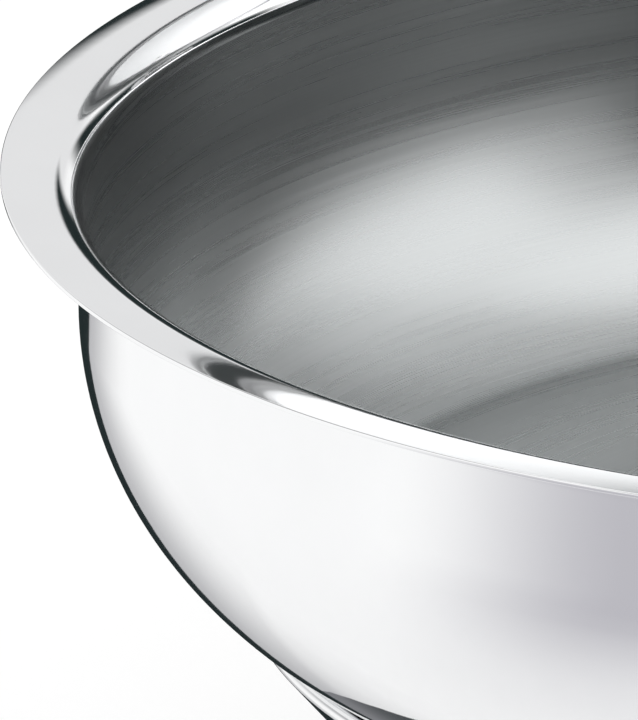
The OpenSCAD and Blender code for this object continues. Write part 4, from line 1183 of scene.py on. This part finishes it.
@dataclass
class Lid(Assembly):
    """The domed lid with its bead, notch and handle. Sizes in millimetres, shut, rim at 0."""

    sheet: float = 0.8
    bead: Point = (216.0, 2.5)
    bead_r: float = 2.2
    plug_r: float = 202.4
    turn_r: float = 3.0
    channel_r: float = 2.0
    plug_drop: float = 3.0
    shoulder: Point = (190.4, 2.0)
    shoulder_r: float = 8.0
    dome_rise: float = 46.0
    notch_z: float = -2.0
    notch_r: float = 14.0
    notch_from: float = 186.4
    notch_l: float = 80.0
    notch_drop: float = 30.0
    handle_y: float = 130.0
    bar_h: float = 24.0
    bar_r: float = 6.0
    bar_half: float = 58.0
    steps: int = 288
    nodes: ClassVar[dict[str, Finish]] = {"handle_posts": Finishes.HANDLE, "handle_screws": Finishes.FIXINGS}

    @property
    def slope(self) -> float:
        """Slope of the dome at its shoulder, in degrees."""
        return math.degrees(2 * math.atan(self.dome_rise / self.shoulder[0]))

    @property
    def dome_r(self) -> float:
        """Radius of the dome."""
        return self.shoulder_r + self.shoulder[0] / math.sin(math.radians(self.slope))

    @property
    def dome_z(self) -> float:
        """Height of the dome's centre."""
        return self.shoulder[1] - (self.dome_r - self.shoulder_r) * math.cos(math.radians(self.slope))

    def face(self, side: int) -> list[Point]:
        """One face of the sheet, from the bead to the axis.

        Args:
            side: 1 for the top and -1 for the underside.

        Returns:
            The face's profile.
        """
        off = side * self.sheet / 2
        flange = [(self.bead[0], self.bead[1] + off)]
        bend = (self.plug_r + self.turn_r, self.bead[1] - self.turn_r)
        turn = arc(bend, self.turn_r + off, 90.0, 180.0, steps=10)
        foot = (self.plug_r - self.channel_r, -self.plug_drop)
        channel = arc(foot, self.channel_r - off, 0.0, -180.0, steps=14)
        shoulder = arc(self.shoulder, self.shoulder_r + off, 0.0, 90.0 - self.slope, steps=12)
        dome = arc((0.0, self.dome_z), self.dome_r + off, 90.0 - self.slope, 90.0, steps=26)[1:]
        return flange + turn + channel + shoulder + dome

    def make_notch(self) -> Piece:
        """Makes the cutter of the ladle notch: a rod along X whose underside is drawn down.

        Returns:
            The cutter.
        """
        clear_selection()
        bpy.ops.mesh.primitive_cylinder_add(
            vertices=64,
            radius=self.notch_r * MM,
            depth=self.notch_l * MM,
            location=Vector((self.notch_from + self.notch_l / 2, 0.0, self.notch_z)) * MM,
            rotation=(0.0, math.pi / 2, 0.0),
        )
        cutter = settle(bpy.context.object)
        pick_faces(cutter, lambda middle, normal: normal.z < -0.05)
        down = (0.0, 0.0, -self.notch_drop * MM)
        bpy.ops.mesh.extrude_region_move(TRANSFORM_OT_translate={"value": down})
        bpy.ops.object.mode_set(mode="OBJECT")
        return cutter

    def make_shell(self) -> Piece:
        """Spins the lid's sheet and bead, cuts the notch and opens it.

        Returns:
            The shell.
        """
        lip = math.degrees(math.asin(self.sheet / 2 / self.bead_r))
        bead = arc(self.bead, self.bead_r, 180.0 + lip, 540.0 - lip, steps=20)
        profile = list(reversed(self.face(-1)))[:-1] + bead + self.face(1)[1:]
        shell = turned("lid_shell_smooth", profile, self.steps)
        cut_with(shell, self.make_notch())
        smooth(shell)
        dome = self.plug_r * MM
        rise = self.dome_z * MM

        def is_under(middle: Vector, normal: Vector) -> bool:
            """Whether a face is on the lid's underside or its flange."""
            if math.hypot(middle.x, middle.y) > dome:
                return True
            return normal.dot(middle - Vector((0.0, 0.0, rise))) < 0.0 or middle.z < -0.001

        two_sided(shell, Finishes.LID_OUT, Finishes.LID_IN, is_under)
        place(shell, lid_open())
        return self.finished(shell, Body.LID, ["lid_shell"])

    def make_bar(self) -> Piece:
        """Spins the handle's bar with its round ends.

        Returns:
            The bar.
        """
        ends = arc((0.0, self.bar_half), self.bar_r, 90.0, 0.0, steps=14)
        profile = [(r if r > 1e-6 else 0.0, z) for r, z in ends]
        profile += [(r, -z) for r, z in reversed(profile)]
        bar = turned("lid_handle_bar_smooth", profile, steps=72)
        smooth(bar)
        lean = math.asin(self.handle_y / self.dome_r)
        where = lid_open() @ Matrix.Translation((0.0, 0.0, self.dome_z * MM)) @ Matrix.Rotation(lean, 4, "X")
        up = Matrix.Translation((0.0, 0.0, (self.dome_r + self.sheet / 2 + self.bar_h) * MM))
        place(bar, where @ up @ Matrix.Rotation(math.pi / 2, 4, "Y"))
        Finishes.HANDLE.dress(bar, "polished_handle")
        return self.finished(bar, Body.LID, ["lid_handle_bar"])

    def build(self) -> list[Piece]:
        """Makes the shell and the bar and returns them."""
        return [self.make_shell(), self.make_bar()]


# ------------------------------------------------------------------- studio


def ease(value: float) -> float:
    """A soft step from 0 to 1 over the same range."""
    held = min(1.0, max(0.0, value))
    return held * held * (3.0 - 2.0 * held)


@dataclass(frozen=True)
class Card:
    """A card in an arc round the object, from a low edge to a high one, as radius and height.

    The turns are its first and last direction in degrees, 0 towards +X and 90 towards +Y. The
    fades are the parts of its width over which its low and its high edge go clear, and the part of
    its length over which each end does.
    """

    name: str
    low: Point
    high: Point
    turns: Point
    colour: Colour
    fades: Fades = (0.0, 0.25, 0.12)
    rows: ClassVar[int] = 16
    columns: ClassVar[int] = 64

    def weight(self, spot: Vector) -> float:
        """How solid the card is at a place on it.

        Args:
            spot: the place.

        Returns:
            1 where it is solid and 0 where it is clear.
        """
        here = Vector((spot.to_2d().length, spot.z))
        run = Vector(self.high) - Vector(self.low)
        along = (here - Vector(self.low)).dot(run) / run.length_squared
        turn = (math.degrees(math.atan2(spot.y, spot.x)) - self.turns[0]) % 360.0
        across = 0.0 if turn > 359.9 else turn / (self.turns[1] - self.turns[0])
        low, high, ends = self.fades
        fades = ((along, low), (1.0 - along, high), (across, ends), (1.0 - across, ends))
        return math.prod(ease(part / fade) for part, fade in fades if fade)


@dataclass(frozen=True)
class Lamp:
    """A round soft lamp: its place and width in metres, and its power in watts."""

    name: str
    spot: Place
    power: float
    width: float = 2.4


@dataclass
class Studio:
    """Pale floor, white surroundings, soft lamps, cards and the camera. Sizes in metres.

    The cards show in mirrors only. The patch is the outline of the dark card on the floor at the
    left, and its first corners are its outer border, where a grey shade starts that fades outwards.
    The right has both mirrored. The ring is the edge of a dark card under the object. It is a painted shadow
    that stands in, in mirrors, for the object's shadow on the floor under it.
    """

    floor_half: float = 30.0
    floor_tone: Colour = (0.32, 0.32, 0.32)
    floor_glow: float = 0.75
    sky_light: float = 0.75
    sky_seen: float = 1.0
    cards: tuple[Card, ...] = (
        Card("card_front", (0.16, 0.003), (1.1, 0.003), (195.0, 335.0), (0.55, 0.54, 0.58), (0.3, 0.6, 0.2)),
        Card("curtain_left", (1.3, 0.02), (1.3, 2.0), (216.0, 340.0), DARK, (0.0, 0.0, 0.1)),
        Card("canopy", (1.3, 2.0), (0.45, 2.25), (216.0, 335.0), DARK, (0.0, 0.3, 0.1)),
        Card("curtain_right", (1.28, 0.02), (1.28, 0.36), (-60.0, 22.0), DARK, (0.0, 0.3, 0.2)),
        Card("curtain_back_right", (1.35, 0.02), (1.35, 0.42), (20.0, 80.0), DARK),
        Card("curtain_back_left", (1.35, 0.02), (1.35, 0.52), (84.0, 118.0), DARK, (0.0, 0.12, 0.1)),
        Card("softbox_low", (1.25, 0.27), (1.25, 1.2), (-17.0, 72.0), (2.0, 2.0, 2.0), (0.2, 0.0, 0.15)),
        Card("softbox_high", (1.24, 1.15), (0.3, 2.2), (-66.0, 60.0), (2.1, 2.1, 2.1), (0.1, 0.1, 0.15)),
        Card("card_left", (1.5, 0.1), (1.2, 1.9), (122.0, 214.0), (0.42, 0.42, 0.43), (0.3, 0.4, 0.3)),
        Card("card_back", (1.7, 0.3), (1.7, 1.4), (66.0, 120.0), (0.83, 0.83, 0.835), (0.12, 0.35, 0.15)),
    )
    patch: tuple[Point, ...] = (
        (-0.13, 0.0),
        (-0.155, 0.014),
        (-0.204, 0.082),
        (-0.241, 0.154),
        (-0.32, 0.36),
        (-0.36, 0.47),
        (-0.205, 0.47),
        (-0.19, 0.25),
        (-0.175, 0.184),
        (-0.14, 0.115),
    )
    patch_outer: int = 6
    patch_z: float = 0.002
    # Painted shadow: radius, height and corners of the dark card under the object, which mirrors see in
    # place of its shadow on the floor.
    ring_r: float = 0.185
    ring_z: float = 0.001
    ring_n: int = 48
    shade_start: tuple[Point, ...] = ((-0.1, -0.08), (-0.115, -0.04))
    shade_tone: Colour = (0.3, 0.3, 0.32)
    shade_reach: float = 0.14
    shade_depth: float = 0.7
    shade_z: float = 0.0025
    shade_columns: int = 6
    lamps: tuple[Lamp, ...] = (
        Lamp("key_lamp", (-1.6, -1.8, 2.6), 26.0),
        Lamp("fill_lamp", (2.0, -0.6, 2.2), 12.0),
    )
    lamp_aim: Place = (0.0, 0.0, 0.1)
    lens: float = 1400.0
    sensor: float = 36.0
    clips: Point = (0.1, 100.0)
    distance: float = 5.431
    elevation: float = 18.5012
    aim: Place = (-0.158251, 0.0, 0.1155766)

    def seen(self, tree: Tree) -> Socket:
        """1 where a surface is seen, in a mirror or through glass too, and 0 where it only lights.

        Args:
            tree: the node tree.

        Returns:
            The factor.
        """
        path = tree.nodes.new("ShaderNodeLightPath")
        total = path.outputs["Is Camera Ray"]
        for name in ("Is Glossy Ray", "Is Transmission Ray"):
            total = wired(tree, "ShaderNodeMath", total, path.outputs[name], operation="MAXIMUM").outputs[0]
        return total

    def covered(self, piece: Piece, name: str) -> Tree:
        """Gives a piece a new material.

        Args:
            piece: the piece.
            name: the material's name.

        Returns:
            The material's node tree, empty.
        """
        material = bpy.data.materials.new(name)
        material.use_nodes = True
        material.node_tree.nodes.clear()
        piece.data.materials.append(material)
        return material.node_tree

    def build_world(self) -> None:
        """Makes the surroundings white where they are seen, and softer where they light."""
        world = bpy.data.worlds.new("studio")
        bpy.context.scene.world = world
        world.use_nodes = True
        tree = world.node_tree
        tree.nodes.clear()
        light = wired(tree, "ShaderNodeBackground", WHITE, self.sky_light)
        seen = wired(tree, "ShaderNodeBackground", WHITE, self.sky_seen)
        mix = wired(tree, "ShaderNodeMixShader", self.seen(tree), light.outputs[0], seen.outputs[0])
        wired(tree, "ShaderNodeOutputWorld", mix.outputs[0])

    def build_floor(self) -> None:
        """Makes the pale floor, which keeps the object's shadow."""
        clear_selection()
        bpy.ops.mesh.primitive_plane_add(size=2 * self.floor_half)
        floor = named("studio_floor")
        tree = self.covered(floor, "studio_floor_white")
        matt = wired(tree, "ShaderNodeBsdfDiffuse", (*self.floor_tone, 1.0))
        strength = wired(tree, "ShaderNodeMath", self.seen(tree), self.floor_glow, operation="MULTIPLY")
        glow = wired(tree, "ShaderNodeEmission", WHITE, strength.outputs[0])
        total = wired(tree, "ShaderNodeAddShader", matt.outputs[0], glow.outputs[0])
        wired(tree, "ShaderNodeOutputMaterial", total.outputs[0])

    def flag(self, card: Piece, colour: Colour, weights: Sequence[float]) -> None:
        """Gives a card its colour with soft edges, and shows it to mirrors only.

        Args:
            card: the card's mesh.
            colour: its colour.
            weights: 1 where a vertex is solid and 0 where it is clear, in the vertices' order.
        """
        veil = card.data.attributes.new("veil", "FLOAT", "POINT")
        for spot, weight in zip(veil.data, weights):
            spot.value = weight
        tree = self.covered(card, card.name + "_felt")
        glow = wired(tree, "ShaderNodeEmission", (*colour, 1.0))
        clear = wired(tree, "ShaderNodeBsdfTransparent")
        soft = wired(tree, "ShaderNodeAttribute", attribute_name="veil")
        mix = wired(tree, "ShaderNodeMixShader", soft.outputs["Fac"], clear.outputs[0], glow.outputs[0])
        wired(tree, "ShaderNodeOutputMaterial", mix.outputs[0])
        card.visible_camera = False
        card.visible_diffuse = False
        card.visible_shadow = False
        card.visible_transmission = False

    def build_patch(self, name: str, outline: Sequence[Point], height: float) -> None:
        """Makes a flat dark card over the floor, with crisp edges.

        Args:
            name: the card's name.
            outline: its corners in order.
            height: its height over the floor.
        """
        clear_selection()
        bpy.ops.mesh.primitive_circle_add(vertices=len(outline), fill_type="NGON")
        card = named(name)
        for vertex, corner in zip(card.data.vertices, outline):
            vertex.co = (*corner, height)
        self.flag(card, DARK, [1.0] * len(outline))

    def build_shade(self, name: str, side: int) -> None:
        """Makes a grey card on the floor that fades outwards from the border of a dark one.

        Args:
            name: the card's name.
            side: -1 to the left, 1 to the right, with the border mirrored.
        """
        border = (*self.shade_start, *self.patch[: self.patch_outer])
        columns = self.shade_columns
        clear_selection()
        bpy.ops.mesh.primitive_grid_add(x_subdivisions=columns, y_subdivisions=len(border) - 1)
        card = named(name)
        weights: list[float] = []
        for index, vertex in enumerate(card.data.vertices):
            row, column = divmod(index, columns + 1)
            part = column / columns
            x, y = border[row]
            vertex.co = (-side * (x - self.shade_reach * part), y, self.shade_z)
            weights.append(self.shade_depth * ease(1.0 - part) * min(1.0, row / len(self.shade_start)))
        self.flag(card, self.shade_tone, weights)

    def build_card(self, card: Card) -> None:
        """Makes a card with soft edges that lies or stands in an arc round the object.

        Args:
            card: the card's place, size and colour.
        """
        start = math.radians(card.turns[0])
        out = Vector((math.cos(start), math.sin(start), 0.0))
        first, last = (out * r + Vector((0.0, 0.0, z)) for r, z in (card.low, card.high))
        piece = traced(card.name, [first.lerp(last, k / card.rows) for k in range(card.rows + 1)])
        sweep = math.radians(card.turns[1] - card.turns[0])
        bpy.ops.mesh.spin(steps=card.columns, angle=sweep, center=(0, 0, 0), axis=(0, 0, -1))
        bpy.ops.object.mode_set(mode="OBJECT")
        self.flag(piece, card.colour, [card.weight(vertex.co) for vertex in piece.data.vertices])

    def build_lamp(self, lamp: Lamp) -> None:
        """Makes a wide soft lamp above the object.

        Args:
            lamp: the lamp's place, size and power.
        """
        clear_selection()
        bpy.ops.object.light_add(type="AREA", location=lamp.spot)
        made = named(lamp.name)
        made.data.shape = "DISK"
        made.data.size = lamp.width
        made.data.energy = lamp.power
        made.visible_glossy = False
        made.rotation_euler = (Vector(self.lamp_aim) - Vector(lamp.spot)).to_track_quat("-Z", "Y").to_euler()

    def build_camera(self) -> None:
        """Makes the camera."""
        clear_selection()
        tilt = math.radians(self.elevation)
        forward = Vector((0.0, math.cos(tilt), -math.sin(tilt)))
        bpy.ops.object.camera_add(location=Vector(self.aim) - forward * self.distance)
        camera = named("studio_camera")
        camera.rotation_euler = (math.pi / 2 - tilt, 0.0, 0.0)
        camera.data.lens = self.lens
        camera.data.sensor_width = self.sensor
        camera.data.clip_start, camera.data.clip_end = self.clips
        bpy.context.scene.camera = camera

    def build(self) -> None:
        """Makes the whole studio."""
        self.build_camera()
        self.build_world()
        self.build_floor()
        self.build_shade("shade_left", -1)
        self.build_shade("shade_right", 1)
        self.build_patch("flag_left", self.patch, self.patch_z)
        self.build_patch("flag_right", [(-x, y) for x, y in reversed(self.patch)], self.patch_z)
        # Painted shadow: a dark disc under the object, seen only in mirrors, stands in for the object's
        # shadow on the floor.
        turns = [FULL_TURN * k / self.ring_n for k in range(self.ring_n)]
        ring = [(self.ring_r * math.cos(turn), self.ring_r * math.sin(turn)) for turn in turns]
        self.build_patch("painted_shadow_under", ring, self.ring_z)
        for card in self.cards:
            self.build_card(card)
        for lamp in self.lamps:
            self.build_lamp(lamp)
        bpy.context.scene.view_settings.view_transform = "Standard"


def main() -> None:
    """Builds the studio and every assembly."""
    logging.basicConfig(level=logging.INFO, format="%(name)s: %(message)s")
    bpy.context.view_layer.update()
    Studio().build()
    for assembly in (Bowl(), Cap(), Heater(), Plinth(), Wiring(), Controls(), Hinge(), Lid()):
        assembly.dress()
        for piece in assembly.build():
            log.info("%s stands in its place", piece.name)
    clear_selection()


if __name__ == "__main__":
    main()
